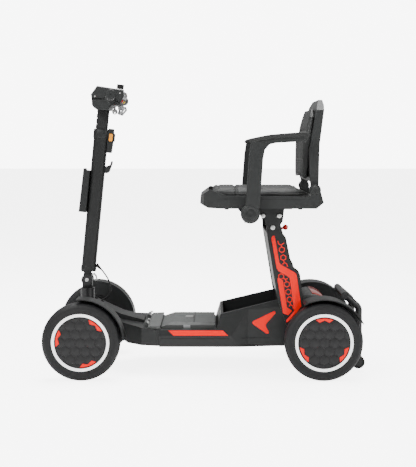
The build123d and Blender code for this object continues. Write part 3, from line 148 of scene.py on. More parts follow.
class Recipe:
    """Node tree of one finish, with the shader that everything feeds."""

    def __init__(self, name: str) -> None:
        """Start a material with an empty Principled shader.

        Args:
            name: Name of the material.
        """
        self.material = bpy.data.materials.new(name)
        self.material.use_nodes = True
        self.tree = self.material.node_tree
        self.shader = self.tree.nodes["Principled BSDF"]
        self._place: bpy.types.NodeSocket | None = None

    def add(self, kind: str, settings: dict | None = None, inputs: dict | None = None,
            output: int = 0) -> Signal:
        """Add one node.

        Args:
            kind: Node type.
            settings: Node properties, set before the sockets.
            inputs: Socket index or name to a signal or a value.
            output: Index of the output that is wanted.

        Returns:
            The wanted output as a signal.
        """
        node = self.tree.nodes.new(kind)
        for key, value in (settings or {}).items():
            setattr(node, key, value)
        for key, value in (inputs or {}).items():
            if isinstance(value, Signal):
                self.tree.links.new(value.socket, node.inputs[key])
            else:
                node.inputs[key].default_value = value
        return Signal(self, node.outputs[output])

    def place(self, centre: Point = (0, 0, 0), stretch: Point = (1, 1, 1),
              turn: Point = (0, 0, 0)) -> Signal:
        """Object coordinates in metres, centred, turned and stretched.

        Args:
            centre: Point that becomes the origin.
            stretch: Factor along each axis, after the turn.
            turn: Turn about each axis in radians.

        Returns:
            The coordinate vector.
        """
        base = self.add("ShaderNodeTexCoord", output=3)
        if centre == (0, 0, 0) and stretch == (1, 1, 1) and turn == (0, 0, 0):
            return base
        move = self.add("ShaderNodeVectorMath", {"operation": "SUBTRACT"}, {0: base, 1: centre})
        return self.add("ShaderNodeMapping", {"vector_type": "POINT"}, {0: move, 2: turn, 3: stretch})

    def axes(self, vector: Signal) -> tuple[Signal, Signal, Signal]:
        """The three parts of a vector."""
        node = self.tree.nodes.new("ShaderNodeSeparateXYZ")
        self.tree.links.new(vector.socket, node.inputs[0])
        return tuple(Signal(self, socket) for socket in node.outputs)

    def noise(self, where: Signal, scale: float, detail: float = 2.0, warp: float = 0.0) -> Signal:
        """Noise of a scale in waves per metre."""
        return self.add("ShaderNodeTexNoise", {}, {0: where, 2: scale, 3: detail, 8: warp})

    def cells(self, where: Signal, scale: float, feature: str = "F1") -> Signal:
        """Distance inside a cell pattern of a scale in cells per metre."""
        return self.add("ShaderNodeTexVoronoi", {"feature": feature}, {0: where, 2: scale})

    def mix(self, share: Signal, first: Colour, second: Colour | Signal) -> Signal:
        """Blend of two colours by a share."""
        second_value = second if isinstance(second, Signal) else (*second, 1.0)
        first_value = first if isinstance(first, Signal) else (*first, 1.0)
        return self.add("ShaderNodeMix", {"data_type": "RGBA"}, {0: share, 6: first_value, 7: second_value},
                        output=2)

    def feed(self, name: str, value: "Signal | float | tuple") -> None:
        """Link or set one input of the shader."""
        if isinstance(value, Signal):
            self.tree.links.new(value.socket, self.shader.inputs[name])
        else:
            self.shader.inputs[name].default_value = value

    def raise_surface(self, height: Signal, depth: float, strength: float = 1.0) -> None:
        """Feed a bump of a real depth in metres to the shader's normal."""
        bump = self.add("ShaderNodeBump", {}, {"Strength": strength, "Distance": depth, "Height": height})
        self.feed("Normal", bump)


# ---------------------------------------------------------------- finishes
@dataclass(frozen=True)
class Finish:
    """A finish with a fine grain, a slow change of tone and handling marks."""

    name: str
    colour: Colour
    roughness: float = 0.45
    metallic: float = 0.0
    grain: float = 900.0
    grain_depth: float = 0.00012
    mottle: float = 0.16
    coat: float = 0.0
    specular: float = 0.3
    # glow: emission strength, painted light on a part that is no lamp.
    glow: float = 0.0

    def height(self, recipe: Recipe) -> Signal:
        """Height of the surface, 0 to 1."""
        where = recipe.place()
        return recipe.noise(where, self.grain, 3.0) * 0.7 + recipe.cells(where, self.grain * 0.8) * 0.3

    def tone(self, recipe: Recipe) -> Signal:
        """Share of the lighter tone, 0 to 1."""
        where = recipe.place()
        slow = recipe.noise(where, 9.0, 4.0)
        fine = recipe.noise(where, 160.0, 2.0)
        return slow * 0.65 + fine * 0.35

    def gloss(self, recipe: Recipe, tone: Signal) -> Signal:
        """Roughness over the surface, with faint wipe marks."""
        wipes = recipe.noise(recipe.place(stretch=(1, 1, 6)), 26.0, 3.0).step(0.45, 0.75)
        return tone * 0.12 + wipes * 0.08 + (self.roughness - 0.08)

    def paint(self, recipe: Recipe, tone: Signal) -> Signal:
        """Colour over the surface."""
        dark = tuple(part * (1 - self.mottle) for part in self.colour)
        light = tuple(min(1.0, part * (1 + self.mottle)) for part in self.colour)
        return recipe.mix(tone, dark, light)

    def make(self) -> bpy.types.Material:
        """Build the material.

        Returns:
            The finished material.
        """
        recipe = Recipe(self.name)
        tone = self.tone(recipe)
        recipe.feed("Base Color", self.paint(recipe, tone))
        recipe.feed("Roughness", self.gloss(recipe, tone))
        recipe.feed("Metallic", self.metallic)
        recipe.feed("Coat Weight", self.coat)
        recipe.feed("Specular IOR Level", self.specular)
        # Painted light: the emission makes the part glow though it is no lamp.
        if self.glow:
            recipe.feed("Emission Color", (*self.colour, 1.0))
            recipe.feed("Emission Strength", self.glow)
        recipe.raise_surface(self.height(recipe), self.grain_depth)
        return recipe.material


@dataclass(frozen=True)
class DrawnFinish(Finish):
    """Drawn or brushed metal, with lines along one axis."""

    lines: Point = (1.0, 1.0, 0.02)

    def height(self, recipe: Recipe) -> Signal:
        """Long fine lines."""
        return recipe.noise(recipe.place(stretch=self.lines), self.grain, 3.0)

    def gloss(self, recipe: Recipe, tone: Signal) -> Signal:
        """Roughness that follows the lines."""
        lines = recipe.noise(recipe.place(stretch=self.lines), self.grain * 0.6, 2.0)
        return lines * 0.22 + (self.roughness - 0.1) + tone * 0.04


@dataclass(frozen=True)
class GripFinish(Finish):
    """Soft rubber with fine ribs round the bar."""

    pitch: float = 0.0042

    def height(self, recipe: Recipe) -> Signal:
        """Rounded ribs across Y."""
        where = recipe.place()
        _, y, _ = recipe.axes(where)
        ribs = abs((y % self.pitch) / self.pitch - 0.5).step(0.1, 0.4)
        return ribs + recipe.noise(where, 1400.0, 2.0) * 0.25


@dataclass(frozen=True)
class TyreFinish(Finish):
    """Solid tyre rubber: slanted sipes over the tread and a painted sheen at the crown."""

    axle: Flat = (0.0, 0.0)
    middle: float = 0.0
    sipes: int = 54

    def polar(self, recipe: Recipe) -> tuple[Signal, Signal, Signal]:
        """Angle round the axle, distance from it, and distance from the middle plane."""
        x, y, z = recipe.axes(recipe.place((self.axle[0], self.middle, self.axle[1])))
        radius = (x * x + z * z) ** 0.5
        return z.angle(x), radius, abs(y)

    def height(self, recipe: Recipe) -> Signal:
        """Sipes, two grooves round the tread, and moulding grain."""
        turn, radius, out = self.polar(recipe)
        slant = turn * (self.sipes / math.tau) + out * 55.0
        sipe = (abs(slant % 1.0 - 0.5) > 0.09) * 1.0
        tread = radius.step(0.1085, 0.1115) * out.step(0.005, 0.008)
        groove = 1.0 - (1.0 - abs(out - 0.0065).step(0.001, 0.002)) * radius.step(0.112, 0.114)
        ring = abs(radius - 0.1).step(0.0006, 0.0016)
        cut = 1.0 - (1.0 - sipe) * tread
        return cut * groove * 0.8 + ring * 0.2 + recipe.noise(recipe.place(), 1100.0, 2.0) * 0.06

    def paint(self, recipe: Recipe, tone: Signal) -> Signal:
        """Black rubber that greys a little towards the crown: a painted sheen."""
        _, radius, _ = self.polar(recipe)
        # Painted sheen: the rubber is painted lighter grey towards the crown.
        painted_sheen = radius.step(0.104, 0.122) * tone
        sheen_grey = tuple(part * 1.9 + 0.012 for part in self.colour)
        return recipe.mix(painted_sheen, self.colour, sheen_grey)


@dataclass(frozen=True)
class LeatherFinish(Finish):
    """Soft synthetic leather: pebbled grain with fine creases."""

    def height(self, recipe: Recipe) -> Signal:
        """Pebbles with creases between them."""
        where = recipe.place()
        warp = recipe.add(
            "ShaderNodeVectorMath", {"operation": "MULTIPLY_ADD"},
            {0: recipe.add("ShaderNodeTexNoise", {}, {0: where, 2: 120.0}, output=1), 1: (0.0016,) * 3,
             2: where},
        )
        pebbles = recipe.cells(warp, 520.0, "DISTANCE_TO_EDGE").step(0.0, 0.16)
        return pebbles * 0.8 + recipe.noise(where, 60.0, 3.0) * 0.35


@dataclass(frozen=True)
class StippleFinish(Finish):
    """Moulded anti-slip plastic with a raised stipple."""

    def height(self, recipe: Recipe) -> Signal:
        """Even rounded bumps over a fine grain."""
        where = recipe.place()
        bumps = 1.0 - recipe.cells(where, 420.0).step(0.15, 0.45)
        return bumps * 0.8 + recipe.noise(where, 1500.0, 2.0) * 0.2


@dataclass(frozen=True)
class CellFinish(Finish):
    """Heat-shrunk wrap of battery cells with a lighter band."""

    def paint(self, recipe: Recipe, tone: Signal) -> Signal:
        """Wrap colour with one band."""
        _, _, z = recipe.axes(recipe.place())
        band = z.step(0.1465, 0.1475)
        wrap = recipe.mix(tone, tuple(part * 0.8 for part in self.colour), self.colour)
        return recipe.mix(band, wrap, (0.55, 0.57, 0.56))


@dataclass(frozen=True)
class FloorFinish(Finish):
    """Plain pale studio floor."""

    def make(self) -> bpy.types.Material:
        """Build the floor material."""
        recipe = Recipe(self.name)
        tone = recipe.noise(recipe.place(), 3.0, 2.0)
        recipe.feed("Base Color", recipe.mix(tone, tuple(p * 0.99 for p in self.colour), self.colour))
        recipe.feed("Roughness", self.roughness)
        recipe.feed("Emission Color", (1.0, 1.0, 1.0, 1.0))
        recipe.feed("Emission Strength", 0.15)
        glow = recipe.add("ShaderNodeEmission", {}, {0: (1.0, 1.0, 1.0, 1.0), 1: 5.0})
        plain = Signal(recipe, recipe.shader.outputs[0])
        bright = recipe.add("ShaderNodeAddShader", {}, {0: plain, 1: glow})
        seen = recipe.add("ShaderNodeLightPath")
        chosen = recipe.add("ShaderNodeMixShader", {}, {0: seen, 1: plain, 2: bright})
        recipe.tree.links.new(chosen.socket, recipe.tree.nodes["Material Output"].inputs[0])
        return recipe.material


# ---------------------------------------------------------------- workshop
class Shop:
    """Modelling moves that every sub-assembly uses."""

    @staticmethod
    def nothing_selected() -> None:
        """Leave edit mode and deselect everything."""
        if bpy.context.object and bpy.context.object.mode != "OBJECT":
            bpy.ops.object.mode_set(mode="OBJECT")
        bpy.ops.object.select_all(action="DESELECT")

    @staticmethod
    def only(piece: bpy.types.Object) -> bpy.types.Object:
        """Make one object active and selected, and nothing else."""
        Shop.nothing_selected()
        piece.select_set(True)
        bpy.context.view_layer.objects.active = piece
        return piece

    @staticmethod
    def named(name: str) -> bpy.types.Object:
        """Name the object that was just added."""
        piece = bpy.context.object
        piece.name = name
        piece.data.name = name
        return piece

    @staticmethod
    def applied(piece: bpy.types.Object) -> bpy.types.Object:
        """Apply the modifiers and the placement of a piece."""
        Shop.only(piece)
        for modifier in list(piece.modifiers):
            bpy.ops.object.modifier_apply(modifier=modifier.name)
        bpy.ops.object.transform_apply(location=True, rotation=True, scale=True)
        return piece

    @staticmethod
    def rounded(piece: bpy.types.Object, width: float, segments: int = 2,
                angle: float = 30.0) -> bpy.types.Object:
        """Round the sharp edges of a piece.

        Args:
            piece: Piece to round.
            width: Width of the round in metres.
            segments: Faces across the round.
            angle: Edges sharper than this many degrees are rounded.

        Returns:
            The same piece.
        """
        bevel = piece.modifiers.new("round", "BEVEL")
        bevel.width = width
        bevel.segments = segments
        bevel.limit_method = "ANGLE"
        bevel.angle_limit = math.radians(angle)
        return Shop.applied(piece)

    @staticmethod
    def smoothed(piece: bpy.types.Object, angle: float = 35.0) -> bpy.types.Object:
        """Smooth the shading across soft edges."""
        Shop.only(piece)
        bpy.ops.object.shade_smooth_by_angle(angle=math.radians(angle))
        return piece

    @staticmethod
    def outwards(piece: bpy.types.Object, merge: float = 1e-5) -> bpy.types.Object:
        """Merge doubles and turn every face outwards."""
        Shop.only(piece)
        bpy.ops.object.mode_set(mode="EDIT")
        bpy.ops.mesh.select_all(action="SELECT")
        bpy.ops.mesh.remove_doubles(threshold=merge)
        bpy.ops.mesh.normals_make_consistent(inside=False)
        bpy.ops.object.mode_set(mode="OBJECT")
        return piece

    @staticmethod
    def turned(name: str, centre: Point, profile: list[Flat], steps: int = 64,
               axis: Point = (0, 1, 0), out: Point = (1, 0, 0)) -> bpy.types.Object:
        """Turn a closed profile round an axis, as on a lathe.

        Args:
            name: Name of the piece.
            centre: Point on the axis that the profile is measured from.
            profile: (distance along the axis, radius) of each corner in metres.
            steps: Faces round the axis.
            axis: Direction of the axis.
            out: Direction of the radius in the profile's plane.

        Returns:
            The closed, turned piece.
        """
        Shop.nothing_selected()
        bpy.ops.mesh.primitive_circle_add(vertices=len(profile), radius=0.01)
        piece = Shop.named(name)
        origin, along, across = Vector(centre), Vector(axis).normalized(), Vector(out).normalized()
        for vertex, (run, radius) in zip(piece.data.vertices, profile):
            vertex.co = origin + along * run + across * radius
        bpy.ops.object.mode_set(mode="EDIT")
        bpy.ops.mesh.select_all(action="SELECT")
        bpy.ops.mesh.spin(steps=steps, angle=math.tau, center=centre, axis=along)
        bpy.ops.object.mode_set(mode="OBJECT")
        return Shop.smoothed(Shop.outwards(piece))

    @staticmethod
    def cut_flat(name: str, outline: list[Flat], place: Matrix) -> bpy.types.Object:
        """Cut a flat piece to an outline and put it in place.

        Args:
            name: Name of the piece.
            outline: Corners in the piece's own plane, in metres.
            place: Placement of that plane.

        Returns:
            The flat mesh.
        """
        Shop.nothing_selected()
        curve = bpy.data.curves.new(name, "CURVE")
        curve.dimensions = "2D"
        curve.fill_mode = "BOTH"
        spline = curve.splines.new("POLY")
        spline.points.add(len(outline) - 1)
        for point, (u, v) in zip(spline.points, outline):
            point.co = (u, v, 0, 1)
        spline.use_cyclic_u = True
        piece = bpy.data.objects.new(name, curve)
        bpy.context.scene.collection.objects.link(piece)
        Shop.only(piece)
        bpy.ops.object.convert(target="MESH")
        piece = bpy.context.object
        piece.matrix_world = place
        Shop.applied(piece)
        return piece

    @staticmethod
    def plate(name: str, outline: list[Flat], place: Matrix, thick: float,
              edge: float = 0.0) -> bpy.types.Object:
        """Cut a plate of a thickness, centred on its plane.

        Args:
            name: Name of the piece.
            outline: Corners in the piece's own plane, in metres.
            place: Placement of that plane.
            thick: Thickness in metres.
            edge: Width of the rounded edges, or nothing for sharp ones.

        Returns:
            The closed plate.
        """
        piece = Shop.cut_flat(name, outline, place)
        Shop.only(piece)
        bpy.ops.object.mode_set(mode="EDIT")
        bpy.ops.mesh.select_all(action="SELECT")
        bpy.ops.mesh.remove_doubles(threshold=1e-6)
        bpy.ops.mesh.dissolve_limited(angle_limit=0.01)
        bpy.ops.object.mode_set(mode="OBJECT")
        solid = piece.modifiers.new("thickness", "SOLIDIFY")
        solid.thickness = thick
        solid.offset = 0.0
        Shop.applied(piece)
        Shop.outwards(piece, 1e-7)
        if edge:
            Shop.rounded(piece, edge)
        return Shop.smoothed(piece, 30)

    @staticmethod
    def inlay(name: str, outline: list[Flat], side: Side, target: str,
              proud: float = 0.0006) -> bpy.types.Object:
        """Lay a thin film on the side of a CAD node, following its bends.

        Args:
            name: Name of the piece.
            outline: (x, z) corners in metres.
            side: Side of the object that it lies on.
            target: CAD node that it lies on.
            proud: How far it stands off the node in metres.

        Returns:
            The film, as a closed thin piece.
        """
        piece = Shop.cut_flat(name, outline, upright(0.4 * side.value))
        Shop.only(piece)
        bpy.ops.object.mode_set(mode="EDIT")
        bpy.ops.mesh.select_all(action="SELECT")
        bpy.ops.mesh.remove_doubles(threshold=1e-6)
        for _ in range(3):
            bpy.ops.mesh.subdivide(number_cuts=1)
        bpy.ops.object.mode_set(mode="OBJECT")
        wrap = piece.modifiers.new("lay", "SHRINKWRAP")
        wrap.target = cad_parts[target]
        wrap.wrap_method = "PROJECT"
        wrap.use_project_y = True
        wrap.use_positive_direction = side is Side.RIGHT
        wrap.use_negative_direction = side is Side.LEFT
        Shop.applied(piece)
        thin = piece.modifiers.new("thickness", "SOLIDIFY")
        thin.thickness = 2 * proud
        thin.offset = 0.0
        Shop.applied(piece)
        return Shop.outwards(piece, 1e-7)

    @staticmethod
    def block(name: str, low: Point, high: Point, round_width: float = 0.0015) -> bpy.types.Object:
        """Make a block with rounded edges between two corners.

        Args:
            name: Name of the piece.
            low: Lowest corner.
            high: Highest corner.
            round_width: Width of the rounded edges in metres.

        Returns:
            The block.
        """
        Shop.nothing_selected()
        middle = [(a + b) / 2 for a, b in zip(low, high)]
        size = [b - a for a, b in zip(low, high)]
        bpy.ops.mesh.primitive_cube_add(size=1, location=middle)
        piece = Shop.named(name)
        piece.scale = size
        Shop.applied(piece)
        Shop.rounded(piece, round_width, 3)
        return Shop.smoothed(piece)

    @staticmethod
    def copied(piece: bpy.types.Object, name: str, move: Matrix) -> bpy.types.Object:
        """Copy a piece with its own mesh and move the copy's mesh."""
        twin = piece.copy()
        twin.data = piece.data.copy()
        twin.name = name
        twin.data.name = name
        bpy.context.scene.collection.objects.link(twin)
        twin.data.transform(move)
        return twin

    @staticmethod
    def joined(name: str, pieces: list[bpy.types.Object]) -> bpy.types.Object:
        """Join pieces into one named object."""
        Shop.nothing_selected()
        for piece in pieces:
            piece.select_set(True)
        bpy.context.view_layer.objects.active = pieces[0]
        if len(pieces) > 1:
            bpy.ops.object.join()
        return Shop.named(name)

    @staticmethod
    def dressed(piece: bpy.types.Object, finish: bpy.types.Material) -> bpy.types.Object:
        """Give the whole piece one material."""
        piece.data.materials.clear()
        piece.data.materials.append(finish)
        for polygon in piece.data.polygons:
            polygon.material_index = 0
        return piece

    @staticmethod
    def fitted(piece: bpy.types.Object, finish: bpy.types.Material, body: str,
               slot: str) -> bpy.types.Object:
        """Dress a new piece, put it on its body and log it.

        Args:
            piece: Finished piece.
            finish: Its material.
            body: CAD body that it rides on.
            slot: Material slot, not used.

        Returns:
            The same piece.
        """
        Shop.dressed(piece, finish)
        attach(piece, body)
        LOG.info("%s on %s, %d faces", piece.name, body, len(piece.data.polygons))
        return piece


def upright(y: float) -> Matrix:
    """Placement of the side-view plane at y: local x is forward and local y is up."""
    return Matrix.Translation((0, y, 0)) @ Matrix.Rotation(math.radians(90), 4, "X")


def facing(origin: Point, across: Point, up: Point) -> Matrix:
    """Placement of a plane by its origin and its two directions."""
    u, v = Vector(across).normalized(), Vector(up).normalized()
    w = u.cross(v)
    return Matrix.Translation(origin) @ Matrix((u, v, w)).transposed().to_4x4()


def arc(radius: float, start: float, end: float, count: int = 12, centre: Flat = (0, 0)) -> list[Flat]:
    """Points on an arc, with angles in degrees."""
    angles = [math.radians(start + (end - start) * i / count) for i in range(count + 1)]
    return [(centre[0] + radius * math.cos(a), centre[1] + radius * math.sin(a)) for a in angles]


def rounded_box(width: float, depth: float, radius: float, count: int = 5) -> list[Flat]:
    """Outline of a rectangle with round corners, centred."""
    points: list[Flat] = []
    for start, sx, sy in ((0, 1, 1), (90, -1, 1), (180, -1, -1), (270, 1, -1)):
        centre = (sx * (width / 2 - radius), sy * (depth / 2 - radius))
        points += arc(radius, start, start + 90, count, centre)
    return points


# ---------------------------------------------------------------- palette
CHARCOAL: Colour = (0.013, 0.0138, 0.0138)
SLATE: Colour = (0.072, 0.0755, 0.074)
SIGNAL_RED: Colour = (0.8, 0.0035, 0.0006)


class Palette:
    """Every finish of the scooter, built once."""

    def __init__(self) -> None:
        """Build the materials that are shared between pieces."""
        self.charcoal = Finish("charcoal_plastic", CHARCOAL, 0.42, grain=1100, grain_depth=0.00006).make()
        self.satin = Finish("satin_plastic", (0.021, 0.0222, 0.022), 0.38, grain=1300,
                            grain_depth=0.00005).make()
        self.slate = StippleFinish("slate_plastic", SLATE, 0.46, grain_depth=0.00007, mottle=0.08).make()
        self.coat = Finish("powder_coat", (0.011, 0.011, 0.0115), 0.42, grain=650, grain_depth=0.00009,
                           coat=0.15).make()
        self.tube = DrawnFinish("satin_tube", (0.02, 0.0205, 0.0205), 0.36, metallic=0.35, grain=900,
                                grain_depth=0.00003, lines=(1, 1, 0.015)).make()
        self.hub = Finish("hub_plastic", (0.013, 0.013, 0.0135), 0.46, grain=1000,
                          grain_depth=0.00008).make()
        self.rubber = GripFinish("ribbed_rubber", (0.016, 0.0163, 0.0163), 0.62, grain_depth=0.00035,
                                 mottle=0.1).make()
        self.leather = LeatherFinish("soft_leather", (0.0185, 0.0193, 0.019), 0.52, grain_depth=0.00022,
                                     mottle=0.14).make()
        self.mesh = StippleFinish("dark_lining", (0.004, 0.004, 0.004), 0.7, grain_depth=0.0001).make()
        self.steel = DrawnFinish("brushed_steel", (0.62, 0.62, 0.61), 0.3, metallic=1.0, grain=1200,
                                 grain_depth=0.00002, lines=(1, 0.03, 1)).make()
        self.chrome = Finish("chrome", (0.5, 0.5, 0.5), 0.16, metallic=1.0, grain=200, grain_depth=0.00001,
                             mottle=0.05).make()
        self.silver = DrawnFinish("silver_panel", (0.36, 0.365, 0.37), 0.4, metallic=0.75, grain=1100,
                                  grain_depth=0.00002, lines=(0.03, 1, 1)).make()
        self.cast = Finish("cast_aluminium", (0.34, 0.345, 0.35), 0.5, metallic=0.9, grain=500,
                           grain_depth=0.00025).make()
        # The red films glow a little: painted light that keeps the red bright.
        self.red_film = Finish("red_film", SIGNAL_RED, 0.5, grain=700, grain_depth=0.00002, mottle=0.05,
                               specular=0.15, glow=0.25).make()
        self.red = Finish("red_gloss", (0.6, 0.003, 0.002), 0.2, grain=300, grain_depth=0.00002,
                          mottle=0.05, coat=0.6).make()
        self.orange = Finish("orange_gloss", (0.9, 0.33, 0.008), 0.25, grain=300, grain_depth=0.00002,
                             mottle=0.05, coat=0.5).make()
        self.yellow = Finish("yellow_gloss", (0.85, 0.58, 0.005), 0.22, grain=300, grain_depth=0.00002,
                             mottle=0.05, coat=0.5).make()
        # The white rings and the dial pointer glow: painted light that keeps them bright white.
        self.white = Finish("white_ring", (0.9, 0.9, 0.9), 0.4, grain=900, grain_depth=0.00003, mottle=0.03,
                            glow=1.1).make()
        self.lens = Finish("tail_lens", (0.36, 0.06, 0.05), 0.24, grain=260, grain_depth=0.0001,
                           mottle=0.12, coat=0.6).make()
        self.cell = CellFinish("cell_wrap", (0.05, 0.2, 0.33), 0.35, grain=400, grain_depth=0.00002,
                               coat=0.4).make()
        self.dark = Finish("shadow_plastic", (0.003, 0.003, 0.003), 0.6, grain=900,
                           grain_depth=0.00006).make()
        self.cable = Finish("cable_rubber", (0.006, 0.006, 0.006), 0.55, grain=700,
                            grain_depth=0.0001).make()

    def tyre(self, name: str, axle: Flat, middle: float) -> bpy.types.Material:
        """Tyre rubber with its tread round one axle."""
        return TyreFinish(name, (0.0085, 0.0085, 0.009), 0.56, grain_depth=0.0016, axle=axle,
                          middle=middle).make()


def dress_nodes(finish: bpy.types.Material, *nodes: str) -> None:
    """Give CAD nodes their material."""
    for node in nodes:
        Shop.dressed(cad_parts[node], finish)
        LOG.info("%s wears %s", node, finish.name)


def middle_of(node: str) -> Vector:
    """Middle of a CAD node's box."""
    low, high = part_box(node)
    return (low + high) / 2


# ---------------------------------------------------------------- wheels
@dataclass
class Wheels:
    """Tyres, rims and the trim on the rims' outer faces."""

    palette: Palette
    ring_radius: float = 0.0886
    ring_band: float = 0.0086
    cap_radius: float = 0.0768
    cell_pitch: float = 0.0306
    cell_gap: float = 0.0019
    face: float = 0.0265
    insert_radius: float = 0.0757

    def ring(self, name: str, centre: Point, out: int) -> bpy.types.Object:
        """White ring round the rim's face."""
        inner, outer = self.ring_radius - self.ring_band, self.ring_radius
        profile = [
            (0.0225, inner), (self.face + 0.0018, inner), (self.face + 0.0026, inner + 0.0012),
            (self.face + 0.003, (inner + outer) / 2), (self.face + 0.0026, outer - 0.0012),
            (self.face + 0.0018, outer), (0.0225, outer),
        ]
        return Shop.turned(name, centre, profile, 96, (0, out, 0))

    def cap(self, name: str, centre: Point, out: int) -> tuple[bpy.types.Object, bpy.types.Object]:
        """Honeycomb cap: raised six-sided cells clipped to a disc, and the dark dish under them."""
        seat = self.face - 0.0008
        cells: list[bpy.types.Object] = []
        row_step = self.cell_pitch * math.sqrt(3) / 2
        radius = self.cell_pitch / math.sqrt(3) - self.cell_gap / math.sqrt(3)
        for row in range(-3, 4):
            for column in range(-3, 4):
                across = (column + (row % 2) / 2) * self.cell_pitch
                up = row * row_step
                if math.hypot(across, up) > self.cap_radius + radius * 0.6:
                    continue
                spot = (centre[0] + across, centre[1] + out * (seat + 0.001), centre[2] + up)
                Shop.nothing_selected()
                bpy.ops.mesh.primitive_cylinder_add(
                    vertices=6, radius=radius, depth=0.002, location=spot, rotation=(math.pi / 2, 0, 0))
                cell = Shop.named(f"cell_{row}_{column}")
                Shop.applied(cell)
                cells.append(Shop.rounded(cell, 0.0007, 2))
        field_piece = Shop.joined(name, cells)
        Shop.nothing_selected()
        bpy.ops.mesh.primitive_cylinder_add(
            vertices=96, radius=self.cap_radius - 0.0006, depth=0.03,
            location=(centre[0], centre[1] + out * self.face, centre[2]), rotation=(math.pi / 2, 0, 0))
        cutter = Shop.named("cutter")
        clip = field_piece.modifiers.new("clip", "BOOLEAN")
        clip.operation = "INTERSECT"
        clip.object = cutter
        clip.solver = "EXACT"
        Shop.applied(field_piece)
        bpy.data.objects.remove(cutter)
        plinth_profile = [
            (seat - 0.002, 0.0), (seat - 0.002, self.cap_radius + 0.001),
            (seat + 0.0022, self.cap_radius + 0.001),
            (seat + 0.0022, self.cap_radius - 0.0006), (seat + 0.0003, self.cap_radius - 0.0012),
            (seat + 0.0003, 0.0),
        ]
        plinth = Shop.turned(f"{name}_plinth", centre, plinth_profile, 96, (0, out, 0))
        return Shop.smoothed(field_piece), plinth

    def inserts(self, name: str, centre: Point, out: int, angles: tuple[float, ...]) -> bpy.types.Object:
        """Three red inserts between the cells and the cap's edge."""
        outline = arc(self.insert_radius, 69.5, 110.5) + [(-0.0148, 0.0628), (0.0, 0.0702), (0.0148, 0.0628)]
        plates = []
        for index, angle in enumerate(angles):
            turn = Matrix.Rotation(math.radians(angle - 90) * (-1 if out < 0 else 1), 4, "Z")
            place = Matrix.Translation((centre[0], centre[1] + out * (self.face + 0.0004), centre[2]))
            spot = place @ Matrix.Rotation(math.radians(90), 4, "X") @ turn
            plates.append(Shop.plate(f"insert_{index}", outline, spot, 0.0028, 0.0004))
        return Shop.joined(name, plates)

    def build(self) -> None:
        """Dress the four wheels."""
        for end, angles in (("front", (11.0, 131.0, 251.0)), ("rear", (90.0, 210.0, 330.0))):
            for side in Side:
                wheel = f"{end}_{side.word}"
                hub = middle_of(f"{wheel}_tyre")
                centre = (hub.x, hub.y, hub.z)
                body = f"{wheel}_wheel"
                dress_nodes(self.palette.tyre(f"{wheel}_rubber", (hub.x, hub.z), hub.y), f"{wheel}_tyre")
                dress_nodes(self.palette.hub, f"{wheel}_hub")
                ring = self.ring(f"{wheel}_ring", centre, side.value)
                cap, dish = self.cap(f"{wheel}_cap", centre, side.value)
                inserts = self.inserts(f"{wheel}_inserts", centre, side.value, angles)
                Shop.fitted(ring, self.palette.white, body, "hub_black")
                Shop.fitted(cap, self.palette.hub, body, "hub_black")
                Shop.fitted(dish, self.palette.dark, body, "hub_black")
                Shop.fitted(inserts, self.palette.red_film, body, "red")


@dataclass
class Casters:
    """Anti-tip wheels at the back."""

    palette: Palette

    def build(self) -> None:
        """Dress the casters and cover their axle ends."""
        for side in Side:
            node = f"{side.word}_caster"
            dress_nodes(self.palette.cable, node)
            low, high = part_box(node)
            middle = (low + high) / 2
            for end in (1, -1):
                y = high.y if end > 0 else low.y
                profile = [(-0.001, 0.0046), (-0.001, 0.012), (0.0004, 0.0125), (0.001, 0.0115),
                           (0.0012, 0.0046)]
                cap = Shop.turned(f"{node}_face_{'out' if end > 0 else 'in'}", (middle.x, y, middle.z),
                                  profile, 40,
                                  (0, end, 0))
                Shop.fitted(cap, self.palette.hub, node, "hub_black")


